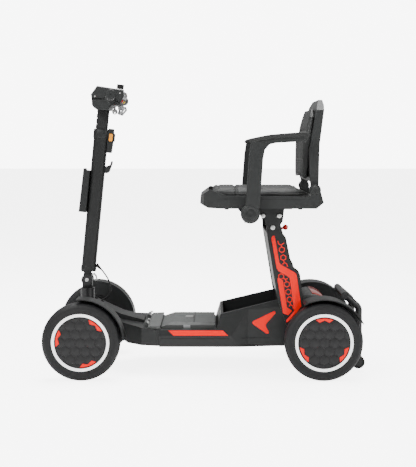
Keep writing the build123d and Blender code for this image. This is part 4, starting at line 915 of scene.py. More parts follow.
# ---------------------------------------------------------------- bodywork
@dataclass
class Bodywork:
    """Covers of the chassis with their films, seams and screws."""

    palette: Palette
    stripe: tuple[Flat, ...] = ((0.1206, 0.1412), (0.1039, 0.1254), (-0.0674, 0.1254), (-0.0507, 0.1412))
    arrow: tuple[Flat, ...] = (
        (-0.1435, 0.1626), (-0.1447, 0.1663), (-0.1475, 0.1690), (-0.2085, 0.1985), (-0.2140, 0.1998),
        (-0.2166, 0.1963), (-0.2150, 0.1915), (-0.1905, 0.1640), (-0.1862, 0.1570), (-0.1868, 0.1505),
        (-0.1955, 0.1345), (-0.1950, 0.1290), (-0.1890, 0.1285), (-0.1475, 0.1575),
    )

    def films(self) -> None:
        """Red stripe and arrow on both sides of the rear cover."""
        for side in Side:
            for name, outline in (("side_stripe", self.stripe), ("side_arrow", self.arrow)):
                film = Shop.inlay(f"{side.word}_{name}", list(outline), side, "rear_body")
                Shop.fitted(film, self.palette.red_film, "chassis", "red")

    def seams(self) -> None:
        """Shadow line along the lower edge of the rear cover."""
        for side in Side:
            low = [(0.147, 0.1150), (0.147, 0.1166), (-0.20, 0.1166), (-0.20, 0.1150)]
            line = Shop.inlay(f"{side.word}_sill_line", low, side, "rear_body", 0.0003)
            Shop.fitted(line, self.palette.dark, "chassis", "charcoal")

    def screws(self) -> None:
        """Socket screws of the deck strip."""
        low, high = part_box("deck_strip")
        profile = [(-0.002, 0.0), (-0.002, 0.0045), (0.0012, 0.0045), (0.0022, 0.0036), (0.0022, 0.0022),
                   (0.0006, 0.0022), (0.0006, 0.0)]
        for side in Side:
            for row, y in enumerate((0.045, 0.105)):
                spot = ((low.x + high.x) / 2 + 0.014, side.value * y, high.z)
                screw = Shop.turned(f"{side.word}_deck_screw_{row}", spot, profile, 24, (0, 0, 1))
                Shop.fitted(screw, self.palette.steel, "chassis", "steel")

    def lining(self) -> None:
        """Rubber mat with ribs on the floor of the tub."""
        ribs = [Shop.block("mat", (-0.188, -0.1, 0.1262), (-0.058, 0.1, 0.1284), 0.0008)]
        for index in range(12):
            x = -0.182 + index * 0.0108
            ribs.append(Shop.block("rib", (x, -0.094, 0.1282), (x + 0.004, 0.094, 0.1296), 0.0006))
        mat = Shop.joined("tub_mat", ribs)
        Shop.fitted(mat, self.palette.mesh, "chassis", "charcoal")

    def tail_lights(self) -> None:
        """Red light band round the back of the motor cover."""
        low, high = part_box("motor_cover")
        profile = arc(0.0592, 92, 152, 14) + list(reversed(arc(0.0545, 92, 152, 14)))
        centre_x, centre_z = -0.334, 0.192
        outline = [(centre_x + x, centre_z + z) for x, z in profile]
        half = min(high.y, -low.y) * 0.86
        band = Shop.plate("tail_light", outline, upright(0), 2 * half, 0.0012)
        Shop.fitted(band, self.palette.lens, "chassis", "red")

    def build(self) -> None:
        """Dress the covers and add their trim."""
        dress_nodes(self.palette.charcoal, "rear_body", "front_body", "rear_fenders")
        dress_nodes(self.palette.coat, "belly_pan", "main_frame", "rear_bar")
        dress_nodes(self.palette.slate, "motor_cover", "deck_strip")
        dress_nodes(self.palette.steel, "post_pivots")
        dress_nodes(self.palette.cast, "transaxle", "controller")
        self.films()
        self.seams()
        self.screws()
        self.lining()
        self.tail_lights()


@dataclass
class Battery:
    """Lift-out battery with its latch bands."""

    palette: Palette

    def build(self) -> None:
        """Dress the battery and add the bands and the ridge of its latch."""
        dress_nodes(self.palette.slate, "battery_case")
        dress_nodes(self.palette.cell, "battery_cells")
        dress_nodes(self.palette.steel, "battery_latch")
        _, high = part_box("battery_case")
        for side in Side:
            y = side.value * (high.y + 0.0002)
            low_y, high_y = sorted((y, y - side.value * 0.004))
            strap = Shop.block(f"{side.word}_latch_band", (0.0515, low_y, 0.1385), (0.0745, high_y, 0.1525))
            Shop.fitted(strap, self.palette.silver, "battery", "steel")
        top = Shop.block("latch_top_band", (0.0385, -0.097, high.z - 0.001),
                         (0.0425, 0.097, high.z + 0.0012), 0.0005)
        Shop.fitted(top, self.palette.satin, "battery", "deck_grey")
        grip = Shop.block("latch_plate_ridge", (0.0475, -0.0115, 0.1622), (0.0505, 0.0115, 0.1642), 0.0008)
        Shop.fitted(grip, self.palette.steel, "battery_latch", "steel")


# ---------------------------------------------------------------- steering and tiller
@dataclass
class Tiller:
    """Column, tiller tube, stem and their fittings."""

    palette: Palette
    pivot: Point = (0.390, 0.0, 0.285)
    lean: float = math.radians(5.9)

    @property
    def forward(self) -> Point:
        """Direction square to the tiller, away from the seat."""
        return (math.cos(self.lean), 0, math.sin(self.lean))

    def at(self, forward: float, up: float, y: float = 0.0) -> Point:
        """Point in the tiller's own frame, in metres."""
        cosine, sine = math.cos(self.lean), math.sin(self.lean)
        return (self.pivot[0] + forward * cosine - up * sine, y,
                self.pivot[2] + forward * sine + up * cosine)

    def plane(self, up: float) -> Matrix:
        """Placement of a plane square to the tiller."""
        return facing(self.at(0, up), self.forward, (0, 1, 0))

    def collar(self) -> None:
        """Moulded collar at the top of the outer tube."""
        outer = Shop.plate("tiller_collar", rounded_box(0.0505, 0.0425, 0.018), self.plane(0.474), 0.028,
                           0.0015)
        Shop.fitted(outer, self.palette.charcoal, "tiller", "charcoal")
        lip = Shop.plate("tiller_foot_collar", rounded_box(0.0495, 0.0415, 0.017), self.plane(0.036), 0.016,
                         0.0015)
        Shop.fitted(lip, self.palette.charcoal, "tiller", "charcoal")

    def bolts(self) -> None:
        """Socket screws on the bracket, and hubs on the fold bolt."""
        for index, up in enumerate((0.245, 0.325)):
            profile = [(0.0, 0.0), (0.0, 0.0042), (0.0018, 0.004), (0.0024, 0.0032), (0.0024, 0.002),
                       (0.001, 0.002),
                       (0.001, 0.0)]
            spot = self.at(0.0262, up)
            screw = Shop.turned(f"bracket_screw_{index}", spot, profile, 20, self.forward, (0, 1, 0))
            Shop.fitted(screw, self.palette.steel, "tiller", "steel")
        for side in Side:
            profile = [(0.0225, 0.0), (0.0225, 0.0058), (0.0248, 0.0058), (0.0258, 0.0045), (0.0258, 0.0028),
                       (0.0238, 0.0026), (0.0238, 0.0)]
            head = Shop.turned(f"{side.word}_fold_bolt_cap", self.pivot, profile, 28, (0, side.value, 0))
            Shop.fitted(head, self.palette.steel, "tiller", "steel")

    def boots(self) -> None:
        """Rubber boots where the wiring leaves the tube and meets the front cover."""
        start, into = Vector((0.3615, 0.0002, 0.3330)), Vector((0.346, 0.0012, 0.3175))
        axis = (into - start).normalized()
        run = (into - start).length
        profile = [(0.0, 0.0), (0.0, 0.0062), (0.002, 0.0068), (0.0035, 0.0062), (run * 0.6, 0.0042),
                   (run, 0.0032),
                   (run, 0.0)]
        upper = Shop.turned("wiring_boot_top", tuple(start), profile, 24, tuple(axis), (0, 1, 0))
        Shop.fitted(upper, self.palette.cable, "tiller", "cable")
        foot = Vector((0.3445, 0.0076, 0.2040))
        tip = Vector((0.3395, 0.0080, 0.2195))
        axis = (tip - foot).normalized()
        run = (tip - foot).length
        profile = [(0.0, 0.0), (0.0, 0.0078), (0.0030, 0.0076), (0.0045, 0.0055), (run, 0.0034), (run, 0.0)]
        lower = Shop.turned("wiring_boot_foot", tuple(foot), profile, 24, tuple(axis), (0, 1, 0))
        Shop.fitted(lower, self.palette.cable, "steering", "cable")

    def build(self) -> None:
        """Dress the steering and the tiller."""
        for side in Side:
            dress_nodes(self.palette.coat, f"{side.word}_knuckle")
            dress_nodes(self.palette.charcoal, f"front_{side.word}_fender")
        dress_nodes(self.palette.coat, "steering_column", "fold_bolt")
        dress_nodes(self.palette.steel, "tie_rod", "fold_lever")
        dress_nodes(self.palette.tube, "tiller_tube", "tiller_stem")
        dress_nodes(self.palette.charcoal, "front_bracket", "bag_hook", "latch_housing")
        dress_nodes(self.palette.orange, "latch_button")
        dress_nodes(self.palette.cable, "wiring_harness")
        self.collar()
        self.bolts()
        self.boots()


@dataclass
class Head:
    """Control head with its panel, grips and controls."""

    palette: Palette
    half: float = 0.062
    slope: float = 9.0
    sweep: float = 6.0
    bar_x: float = 0.312
    bar_z: float = 0.872
    grip_end: float = 0.236
    flange_at: float = 0.1215
    rear_top: tuple[Flat, ...] = ((0.2633, 0.8895), (0.2614, 0.8765))

    def panel(self, name: str, top: Flat, low: Flat, width: float, thick: float) -> bpy.types.Object:
        """Flat panel that lies on one facet of the head, seen from the seat."""
        along = Vector((top[0] - low[0], 0, top[1] - low[1]))
        middle = ((top[0] + low[0]) / 2, 0, (top[1] + low[1]) / 2)
        outline = rounded_box(width, along.length, 0.0035)
        return Shop.plate(name, outline, facing(middle, (0, 1, 0), tuple(along)), thick, 0.0005)

    def display(self) -> None:
        """Silver console, its dark window and the row of charge marks."""
        upper = self.panel("console_upper", *self.rear_top, 2 * self.half - 0.010, 0.0028)
        Shop.fitted(upper, self.palette.silver, "stem", "steel")
        window = self.panel("charge_window", (0.2622, 0.8871), (0.2607, 0.8789), 0.036, 0.0034)
        Shop.fitted(window, self.palette.dark, "stem", "hub_black")
        for index in range(5):
            y = -0.0125 + index * 0.00625
            mark = Shop.block(f"charge_mark_{index}", (0.2588, y - 0.0018, 0.8812),
                              (0.2612, y + 0.0018, 0.8850), 0.0004)
            tint = (self.palette.red, self.palette.yellow, self.palette.yellow, self.palette.silver,
                    self.palette.silver)[index]
            Shop.fitted(mark, tint, "stem", "red" if index == 0 else "steel")
        low = self.panel("console_lower", (0.2620, 0.8741), (0.2660, 0.8667), 2 * self.half - 0.014, 0.0022)
        Shop.fitted(low, self.palette.silver, "stem", "steel")

    def dial(self) -> None:
        """Chrome collar and pointer of the speed dial."""
        slope = math.radians(self.slope)
        normal = (-math.sin(slope), 0, math.cos(slope))
        foot = (0.280, 0.0, 0.898)
        profile = [(-0.002, 0.0084), (-0.002, 0.0138), (0.0012, 0.0138), (0.0026, 0.0124), (0.0030, 0.0104),
                   (0.0030, 0.0084)]
        collar = Shop.turned("dial_collar", foot, profile, 48, normal, (0, 1, 0))
        Shop.fitted(collar, self.palette.chrome, "stem", "chrome")
        top = [foot[i] + normal[i] * 0.0172 for i in range(3)]
        mark = Shop.plate("dial_pointer", rounded_box(0.0085, 0.0014, 0.0006),
                          facing((top[0] - 0.0045, 0, top[2] - 0.0007),
                                 (math.cos(slope), 0, math.sin(slope)),
                                 (0, 1, 0)), 0.0012, 0.0002)
        Shop.fitted(mark, self.palette.white, "speed_dial", "chrome")

    def grip_ends(self) -> None:
        """End caps with a small hole, and rims beside the head."""
        sweep = math.radians(self.sweep)
        for side in Side:
            along = (-math.sin(sweep), side.value * math.cos(sweep), 0)
            end = (self.bar_x + along[0] * self.grip_end, along[1] * self.grip_end, self.bar_z)
            profile = [(-0.002, 0.0022), (-0.002, 0.0153), (0.0004, 0.0152), (0.0016, 0.0140),
                       (0.0021, 0.0110),
                       (0.0021, 0.0022)]
            cap = Shop.turned(f"{side.word}_grip_cap", end, profile, 48, along, (0, 0, 1))
            Shop.fitted(cap, self.palette.satin, "stem", "grip_rubber")
            start = (self.bar_x + along[0] * self.flange_at, along[1] * self.flange_at, self.bar_z)
            flange = [(-0.0025, 0.0150), (-0.0025, 0.0180), (-0.0015, 0.0190), (0.0015, 0.0190),
                      (0.0025, 0.0180),
                      (0.0025, 0.0150)]
            rim = Shop.turned(f"{side.word}_grip_flange", start, flange, 48, along, (0, 0, 1))
            Shop.fitted(rim, self.palette.satin, "stem", "grip_rubber")

    def seams(self) -> None:
        """Shadow joint round the head between its two shells."""
        for side in Side:
            outline = [(0.3652, 0.8675), (0.3004, 0.8655), (0.3004, 0.8663), (0.3652, 0.8683)]
            line = Shop.plate(f"{side.word}_head_joint", outline, upright(side.value * self.half), 0.0008)
            Shop.fitted(line, self.palette.dark, "stem", "charcoal")
            for index, (x, z) in enumerate(((0.3535, 0.8745), (0.2745, 0.8845))):
                profile = [(-0.001, 0.0), (-0.001, 0.0026), (0.0006, 0.0024), (0.0010, 0.0018),
                           (0.0003, 0.0010),
                           (0.0003, 0.0)]
                screw = Shop.turned(f"{side.word}_head_screw_{index}", (x, side.value * self.half, z),
                                    profile, 18,
                                    (0, side.value, 0))
                Shop.fitted(screw, self.palette.steel, "stem", "steel")

    def build(self) -> None:
        """Dress the head and add its trim."""
        dress_nodes(self.palette.satin, "head_upper", "head_lower")
        dress_nodes(self.palette.rubber, "hand_grips")
        dress_nodes(self.palette.hub, "speed_dial")
        dress_nodes(self.palette.chrome, "ignition_key")
        dress_nodes(self.palette.silver, "throttle_paddle")
        dress_nodes(self.palette.red, "red_button")
        dress_nodes(self.palette.yellow, "yellow_button")
        self.display()
        self.dial()
        self.grip_ends()
        self.seams()


# ---------------------------------------------------------------- seat post
@dataclass
class SeatPost:
    """Folding post with its red films, chains of rings and bolts."""

    palette: Palette
    face: float = 0.15
    head_reach: float = 0.1585
    long_film: tuple[Flat, ...] = (
        (-0.2014, 0.4323), (-0.2032, 0.4370), (-0.2065, 0.4399), (-0.2105, 0.4395), (-0.2117, 0.4369),
        (-0.2262, 0.3570), (-0.2304, 0.3503), (-0.2736, 0.3257), (-0.2785, 0.3215), (-0.2806, 0.3154),
        (-0.2957, 0.2191), (-0.2746, 0.1905), (-0.2538, 0.1690), (-0.2490, 0.1688), (-0.2492, 0.1745),
        (-0.2738, 0.2040), (-0.2590, 0.3070), (-0.2540, 0.3118), (-0.2232, 0.3303), (-0.2180, 0.3392),
    )
    short_film: tuple[Flat, ...] = (
        (-0.2208, 0.3046), (-0.2228, 0.3070), (-0.2262, 0.3072), (-0.2380, 0.2995), (-0.2512, 0.2150),
        (-0.2660, 0.2060), (-0.2668, 0.2040), (-0.2546, 0.1905), (-0.2392, 0.1965),
    )
    rings: tuple[Flat, ...] = (
        (-0.2340, 0.3964), (-0.2386, 0.3716), (-0.2322, 0.3124), (-0.2504, 0.2882), (-0.2548, 0.2640),
        (-0.2590, 0.2400),
    )
    strokes: tuple[tuple[Flat, ...], ...] = (
        ((-0.2216, 0.4230), (-0.2240, 0.4146), (-0.2312, 0.4108), (-0.2400, 0.4168)),
        ((-0.2312, 0.4108), (-0.2330, 0.4060)),
        ((-0.2402, 0.3622), (-0.2418, 0.3560), (-0.2366, 0.3508)),
        ((-0.2418, 0.3560), (-0.2488, 0.3530), (-0.2520, 0.3440)),
        ((-0.2398, 0.3078), (-0.2452, 0.3032), (-0.2480, 0.2976)),
        ((-0.2452, 0.3032), (-0.2520, 0.3060)),
        ((-0.2606, 0.2306), (-0.2624, 0.2240), (-0.2580, 0.2190)),
        ((-0.2624, 0.2240), (-0.2690, 0.2200), (-0.2712, 0.2120)),
    )

    def stroke(self, name: str, path: tuple[Flat, ...], y: float) -> bpy.types.Object:
        """Thin raised line along a path on the post's face."""
        half = 0.0013
        parts = []
        for index, (start, end) in enumerate(zip(path, path[1:])):
            run = Vector((end[0] - start[0], end[1] - start[1]))
            along = run.normalized() * half
            across = Vector((-along.y, along.x))
            a, b = Vector(start) - along * 0.7, Vector(end) + along * 0.7
            outline = [tuple(a - across), tuple(b - across), tuple(b + across), tuple(a + across)]
            parts.append(Shop.plate(f"{name}_{index}", outline, upright(y), 0.0008))
        return Shop.joined(name, parts)

    def films(self) -> None:
        """Red films and chains on both legs."""
        for side in Side:
            y = side.value * (self.face + 0.0002)
            for name, outline in (("long_film", self.long_film), ("short_film", self.short_film)):
                film = Shop.plate(f"{side.word}_{name}", list(outline), upright(y), 0.0010, 0.0002)
                Shop.fitted(film, self.palette.red_film, "seat_post", "red")
            parts = []
            for index, (x, z) in enumerate(self.rings):
                profile = [(0.0, 0.0076), (0.0, 0.0102), (0.0006, 0.0102), (0.0006, 0.0076)]
                parts.append(Shop.turned(f"link_{index}", (x, y, z), profile, 6, (0, side.value, 0),
                                         (0, 0, 1)))
            parts += [self.stroke(f"line_{index}", path, y) for index, path in enumerate(self.strokes)]
            chain = Shop.joined(f"{side.word}_ring_chain", parts)
            Shop.fitted(chain, self.palette.red_film, "seat_post", "red")

    def bolts(self) -> None:
        """Bright screw heads on the seat bracket and at the post's foot."""
        for side in Side:
            for index, (x, z) in enumerate(((-0.205, 0.466), (-0.225, 0.503), (-0.174, 0.503))):
                spot = (x, 0.0, z)
                reach = self.head_reach
                profile = [(reach - 0.002, 0.0), (reach - 0.002, 0.0072), (reach + 0.0012, 0.0072),
                           (reach + 0.0026, 0.0055), (reach + 0.0028, 0.0032), (reach + 0.0008, 0.0026),
                           (reach + 0.0008, 0.0)]
                screw = Shop.turned(f"{side.word}_seat_screw_{index}", spot, profile, 24, (0, side.value, 0))
                Shop.fitted(screw, self.palette.steel, "seat", "steel")
            profile = [(0.1535, 0.0), (0.1535, 0.0125), (0.1552, 0.0122), (0.1558, 0.0105),
                       (0.1545, 0.0060), (0.1545, 0.0)]
            cap = Shop.turned(f"{side.word}_pivot_cap", (-0.285, 0, 0.130), profile, 36, (0, side.value, 0))
            Shop.fitted(cap, self.palette.coat, "chassis", "frame_black")

    def build(self) -> None:
        """Dress the post."""
        dress_nodes(self.palette.tube, "seat_post")
        dress_nodes(self.palette.red, "lock_knob")
        dress_nodes(self.palette.coat, "seat_bracket")
        self.films()
        self.bolts()


# ---------------------------------------------------------------- upholstery
@dataclass(frozen=True)
class Padding:
    """How one pad is blown up from its plain solid."""

    shrink: float = 0.003
    voxel: float = 0.005
    pressure: float = 4.0
    cap: float = 0.008
    frames: int = 20


@dataclass
class Upholstery:
    """Padded covers of the seat and the backrest."""

    palette: Palette
    padding: Padding = Padding()

    def blown(self, node: str, name: str) -> bpy.types.Object:
        """Blow up a copy of a plain pad by cloth simulation.

        Args:
            node: CAD node that gives the shape.
            name: Name of the new piece.

        Returns:
            The padded mesh.
        """
        pad = Shop.copied(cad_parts[node], name, Matrix.Identity(4))
        pad.parent = None
        for key in list(pad.keys()):
            del pad[key]
        pad.hide_render = False
        Shop.outwards(pad, 1e-5)
        low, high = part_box(node)
        middle = (low + high) / 2
        for vertex in pad.data.vertices:
            for axis in range(3):
                factor = 1 - self.padding.shrink / ((high[axis] - low[axis]) / 2)
                vertex.co[axis] = middle[axis] + (vertex.co[axis] - middle[axis]) * factor
        remesh = pad.modifiers.new("even", "REMESH")
        remesh.mode = "VOXEL"
        remesh.voxel_size = self.padding.voxel
        Shop.applied(pad)
        before = [vertex.co.copy() for vertex in pad.data.vertices]
        cloth = pad.modifiers.new("stuffing", "CLOTH")
        cloth.settings.use_pressure = True
        cloth.settings.uniform_pressure_force = self.padding.pressure
        cloth.settings.effector_weights.gravity = 0
        cloth.point_cache.frame_start = 1
        cloth.point_cache.frame_end = self.padding.frames
        for step in range(1, self.padding.frames + 1):
            bpy.context.scene.frame_set(step)
        Shop.applied(pad)
        bpy.context.scene.frame_set(1)
        for vertex, start in zip(pad.data.vertices, before):
            move = vertex.co - start
            if move.length > self.padding.cap:
                vertex.co = start + move.normalized() * self.padding.cap
        divide = pad.modifiers.new("even", "SUBSURF")
        divide.levels = divide.render_levels = 1
        return Shop.applied(pad)

    @staticmethod
    def pressed(pad: bpy.types.Object, share: Callable[[Vector], float], depth: float) -> None:
        """Press seams and channels into a pad.

        Args:
            pad: Padded mesh.
            share: Function from a point to how far it is pressed, 0 to 1.
            depth: Full depth in metres.
        """
        normals = [vertex.normal.copy() for vertex in pad.data.vertices]
        for vertex, normal in zip(pad.data.vertices, normals):
            vertex.co -= normal * depth * share(vertex.co)

    @staticmethod
    def held(pad: bpy.types.Object, low: Vector, high: Vector) -> None:
        """Keep a pad inside a box."""
        for vertex in pad.data.vertices:
            for axis in range(3):
                vertex.co[axis] = min(max(vertex.co[axis], low[axis]), high[axis])

    def piping(self, name: str, path: list[Point], radius: float = 0.0017) -> bpy.types.Object:
        """Closed round cord sewn into an edge."""
        curve = bpy.data.curves.new(name, "CURVE")
        curve.dimensions = "3D"
        spline = curve.splines.new("POLY")
        spline.points.add(len(path) - 1)
        for point, spot in zip(spline.points, path):
            point.co = (*spot, 1)
        spline.use_cyclic_u = True
        curve.bevel_depth = radius
        curve.bevel_resolution = 3
        piece = bpy.data.objects.new(name, curve)
        bpy.context.scene.collection.objects.link(piece)
        Shop.only(piece)
        bpy.ops.object.convert(target="MESH")
        return Shop.smoothed(Shop.outwards(bpy.context.object, 1e-7))

    def seat(self) -> None:
        """Seat cushion with a raised nose, a cross crease and a sewn edge."""
        low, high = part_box("seat_cushion")
        pad = self.blown("seat_cushion", "seat_cover")
        crease_x, border = high.x - 0.085, 0.030
        middle = (low + high) / 2
        half_x, half_y = (high.x - low.x) / 2, (high.y - low.y) / 2

        def slope(point: Vector) -> float:
            """Lowering of the top towards the back edge."""
            if point.z < middle.z:
                return 0.0
            back = max(0.0, 1 - (point.x - low.x) / 0.05)
            return 0.9 * back * back

        def seams(point: Vector) -> float:
            """Crease across the nose and a seam inside the border."""
            if point.z < middle.z:
                return 0.0
            cross = math.exp(-((point.x - crease_x) / 0.0042) ** 2)
            inside = min(half_x - abs(point.x - middle.x), half_y - abs(point.y - middle.y))
            edge = math.exp(-((inside - border) / 0.0032) ** 2)
            return max(cross, 0.55 * edge)

        self.pressed(pad, slope, 0.012)
        self.pressed(pad, seams, 0.0055)
        self.held(pad, low, Vector((high.x, high.y, high.z + 0.004)))
        Shop.smoothed(pad, 60)
        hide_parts("seat_cushion")
        Shop.fitted(pad, self.palette.leather, "seat", "cushion")
        ring = [(middle.x + x, middle.y + y, 0.5705) for x, y in
                rounded_box(2 * half_x - 0.0035, 2 * half_y - 0.0035, 0.038, 10)]
        cord = self.piping("seat_piping", ring)
        Shop.fitted(cord, self.palette.leather, "seat", "cushion")

    def back(self) -> None:
        """Backrest pad with a border seam and two channels."""
        low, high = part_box("backrest_pad")
        pad = self.blown("backrest_pad", "backrest_cover")

        def seams(point: Vector) -> float:
            """Two channels across and a seam inside the border."""
            cross = max(math.exp(-((point.z - level) / 0.004) ** 2) for level in (0.672, 0.768))
            inside = high.y - abs(point.y)
            edge = math.exp(-((inside - 0.028) / 0.0035) ** 2)
            return max(cross if inside > 0.028 else 0.0, 0.6 * edge)

        self.pressed(pad, seams, 0.0035)
        self.held(pad, low, high + Vector((0.003, 0, 0)))
        Shop.smoothed(pad, 60)
        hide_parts("backrest_pad")
        Shop.fitted(pad, self.palette.leather, "backrest", "cushion")


@dataclass
class Seat:
    """Seat pan, backrest shell and their fittings."""

    palette: Palette
    hinge: Point = (-0.331, 0.0, 0.584)
    spine: Point = (-0.0148, 0.0, 1.0)

    def feet(self) -> None:
        """Rubber bumpers under the pan."""
        low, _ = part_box("seat_base")
        profile = [(0.0, 0.0), (0.0, 0.0075), (0.0045, 0.0068), (0.0058, 0.0045), (0.0058, 0.0)]
        for side in Side:
            for index, x in enumerate((-0.062, -0.290)):
                spot = (x, side.value * 0.150, low.z + 0.0002)
                foot = Shop.turned(f"{side.word}_seat_bumper_{index}", spot, profile, 28, (0, 0, -1))
                Shop.fitted(foot, self.palette.cable, "seat", "grip_rubber")

    def hinge_caps(self) -> None:
        """Rings with a socket at the backrest hinge."""
        for side in Side:
            profile = [(0.199, 0.0058), (0.199, 0.0135), (0.2008, 0.0135), (0.2020, 0.0122),
                       (0.2022, 0.0100),
                       (0.2010, 0.0066), (0.1985, 0.0058)]
            ring = Shop.turned(f"{side.word}_hinge_ring", self.hinge, profile, 44, (0, side.value, 0))
            Shop.fitted(ring, self.palette.satin, "seat", "charcoal")
            core = Shop.turned(f"{side.word}_hinge_socket", self.hinge,
                               [(0.196, 0.0), (0.196, 0.006), (0.1995, 0.006), (0.2, 0.0045),
                                (0.1985, 0.003),
                                (0.1985, 0.0)], 6, (0, side.value, 0))
            Shop.fitted(core, self.palette.dark, "seat", "charcoal")

    def back_plate(self) -> None:
        """Raised spine plate and ribs on the back of the shell."""
        outline = rounded_box(0.150, 0.120, 0.018)
        place = facing((-0.3445, 0, 0.655), (0, 1, 0), self.spine)
        plate = Shop.plate("spine_plate", outline, place, 0.0085, 0.0025)
        Shop.fitted(plate, self.palette.satin, "backrest", "charcoal")
        for index in range(4):
            spot = facing((-0.3493 - index * 0.00036, 0, 0.619 + index * 0.024), (0, 1, 0), self.spine)
            rib = Shop.plate(f"spine_rib_{index}", rounded_box(0.112, 0.006, 0.0028), spot, 0.003, 0.0008)
            Shop.fitted(rib, self.palette.charcoal, "backrest", "charcoal")

    def rim(self) -> None:
        """Painted shadow: a dark line along both sides of the pan."""
        for side in Side:
            outline = [(-0.030, 0.5562), (-0.300, 0.5548), (-0.300, 0.5556), (-0.030, 0.5570)]
            # The dark line paints shade on the pan's side.
            line = Shop.plate(f"{side.word}_pan_line", outline, upright(side.value * 0.2), 0.0007)
            Shop.fitted(line, self.palette.dark, "seat", "charcoal")

    def build(self) -> None:
        """Dress the seat."""
        dress_nodes(self.palette.satin, "seat_base", "backrest_shell")
        dress_nodes(self.palette.leather, "seat_cushion", "backrest_pad")
        self.feet()
        self.hinge_caps()
        self.back_plate()
        self.rim()
        Upholstery(self.palette).seat()
        Upholstery(self.palette, Padding(voxel=0.004, shrink=0.002, cap=0.005)).back()


@dataclass
class Armrests:
    """Armrests with their pads, pivot caps and clamp knobs."""

    palette: Palette
    hub: Flat = (-0.132, 0.514)

    def pad(self, side: Side) -> bpy.types.Object:
        """Soft pad wrapped over the top of the arm."""
        outline = [
            (-0.1285, 0.7290), (-0.1300, 0.7375), (-0.1375, 0.7410), (-0.1560, 0.7458), (-0.1920, 0.7522),
            (-0.2450, 0.7568), (-0.2900, 0.7592), (-0.3030, 0.7580), (-0.3060, 0.7520), (-0.3052, 0.7430),
            (-0.2980, 0.7400), (-0.2900, 0.7452), (-0.2400, 0.7428), (-0.1920, 0.7385), (-0.1600, 0.7325),
            (-0.1400, 0.7262),
        ]
        return Shop.plate(f"{side.word}_arm_pad", outline, upright(side.value * 0.241), 0.0215, 0.0028)

    def groove(self, side: Side) -> bpy.types.Object:
        """Shadow groove along the arm's outer face."""
        outline = [(-0.150, 0.7295), (-0.200, 0.7372), (-0.292, 0.7412), (-0.292, 0.7420), (-0.200, 0.7381),
                   (-0.150, 0.7306)]
        return Shop.plate(f"{side.word}_arm_groove", outline, upright(side.value * 0.2501), 0.0005)

    def caps(self, side: Side) -> None:
        """Pivot cap with a raised rim on the hub."""
        centre = (self.hub[0], 0, self.hub[1])
        rim_profile = [(0.2495, 0.0170), (0.2495, 0.0250), (0.2506, 0.0250), (0.2514, 0.0238),
                       (0.2514, 0.0182),
                       (0.2506, 0.0170)]
        rim = Shop.turned(f"{side.word}_hub_rim", centre, rim_profile, 64, (0, side.value, 0))
        Shop.fitted(rim, self.palette.satin, f"{side.word}_armrest", "charcoal")
        cap_profile = [(0.2490, 0.0), (0.2490, 0.0150), (0.2503, 0.0150), (0.2511, 0.0136), (0.2511, 0.0070),
                       (0.2506, 0.0055), (0.2506, 0.0)]
        cap = Shop.turned(f"{side.word}_hub_cap", centre, cap_profile, 64, (0, side.value, 0))
        Shop.fitted(cap, self.palette.charcoal, f"{side.word}_arm_slide", "charcoal")

    def build(self) -> None:
        """Dress both armrests."""
        for side in Side:
            dress_nodes(self.palette.satin, f"{side.word}_armrest")
            dress_nodes(self.palette.coat, f"{side.word}_arm_slide")
            dress_nodes(self.palette.hub, f"{side.word}_arm_knob")
            pad = self.pad(side)
            Shop.fitted(pad, self.palette.leather, f"{side.word}_armrest", "charcoal")
            Shop.fitted(self.groove(side), self.palette.dark, f"{side.word}_armrest", "charcoal")
            self.caps(side)


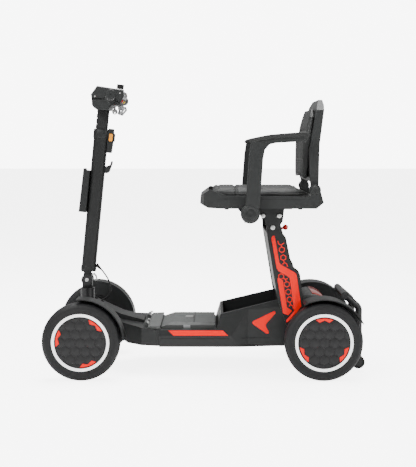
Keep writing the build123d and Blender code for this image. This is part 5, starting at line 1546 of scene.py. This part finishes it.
# ---------------------------------------------------------------- studio
@dataclass
class Studio:
    """Pale floor, soft lights and the camera."""

    lens: float = 78.42
    camera_at: Point = (-0.0203, 3.30, 0.716)
    tilt: float = 0.0852
    swing: float = 0.0051
    surroundings: float = 0.5
    backdrop: float = 8.0

    def floor(self) -> None:
        """Plain floor."""
        Shop.nothing_selected()
        bpy.ops.mesh.primitive_plane_add(size=60, location=(0, 0, 0))
        floor = Shop.named("studio_floor")
        Shop.dressed(floor, FloorFinish("studio_floor", (0.96, 0.96, 0.96), 0.8).make())

    def light(self, name: str, spot: Point, aim: Point, size: float, power: float) -> None:
        """Add one soft area light that faces a point."""
        data = bpy.data.lights.new(name, "AREA")
        data.shape = "SQUARE"
        data.size = size
        data.energy = power
        lamp = bpy.data.objects.new(name, data)
        lamp.location = spot
        lamp.rotation_euler = (Vector(aim) - Vector(spot)).to_track_quat("-Z", "Y").to_euler()
        bpy.context.scene.collection.objects.link(lamp)

    def world(self) -> None:
        """Even pale surroundings."""
        world = bpy.data.worlds.new("studio")
        world.use_nodes = True
        nodes, links = world.node_tree.nodes, world.node_tree.links
        around = nodes["Background"]
        around.inputs[0].default_value = (1.0, 1.0, 1.0, 1.0)
        around.inputs[1].default_value = self.surroundings
        backdrop = nodes.new("ShaderNodeBackground")
        backdrop.inputs[0].default_value = (1.0, 1.0, 1.0, 1.0)
        backdrop.inputs[1].default_value = self.backdrop
        seen = nodes.new("ShaderNodeLightPath")
        chosen = nodes.new("ShaderNodeMixShader")
        links.new(seen.outputs["Is Camera Ray"], chosen.inputs[0])
        links.new(around.outputs[0], chosen.inputs[1])
        links.new(backdrop.outputs[0], chosen.inputs[2])
        links.new(chosen.outputs[0], nodes["World Output"].inputs[0])
        bpy.context.scene.world = world

    def camera(self) -> None:
        """Camera at the rider's left, a little above the armrests."""
        data = bpy.data.cameras.new("camera")
        data.lens = self.lens
        data.sensor_width = 36.0
        camera = bpy.data.objects.new("camera", data)
        camera.location = self.camera_at
        camera.rotation_euler = (math.pi / 2 - self.tilt, 0, math.pi + self.swing)
        bpy.context.scene.collection.objects.link(camera)
        bpy.context.scene.camera = camera

    def build(self) -> None:
        """Set the studio up."""
        self.camera()
        self.world()
        self.floor()
        self.light("key", (1.4, 2.6, 2.6), (0, 0, 0.4), 1.2, 85)
        self.light("fill", (-2.4, 1.8, 1.6), (0, 0, 0.4), 1.2, 35)
        self.light("top", (0, -0.4, 3.2), (0, 0, 0.3), 2.0, 190)


def main() -> None:
    """Build every sub-assembly round the frame."""
    logging.basicConfig(level=logging.INFO, format="%(name)s: %(message)s")
    palette = Palette()
    Studio().build()
    for assembly in (Wheels, Casters, Bodywork, Battery, Tiller, Head, SeatPost, Seat, Armrests):
        assembly(palette).build()
        LOG.info("%s done", assembly.__name__)


if __name__ == "__main__":
    main()
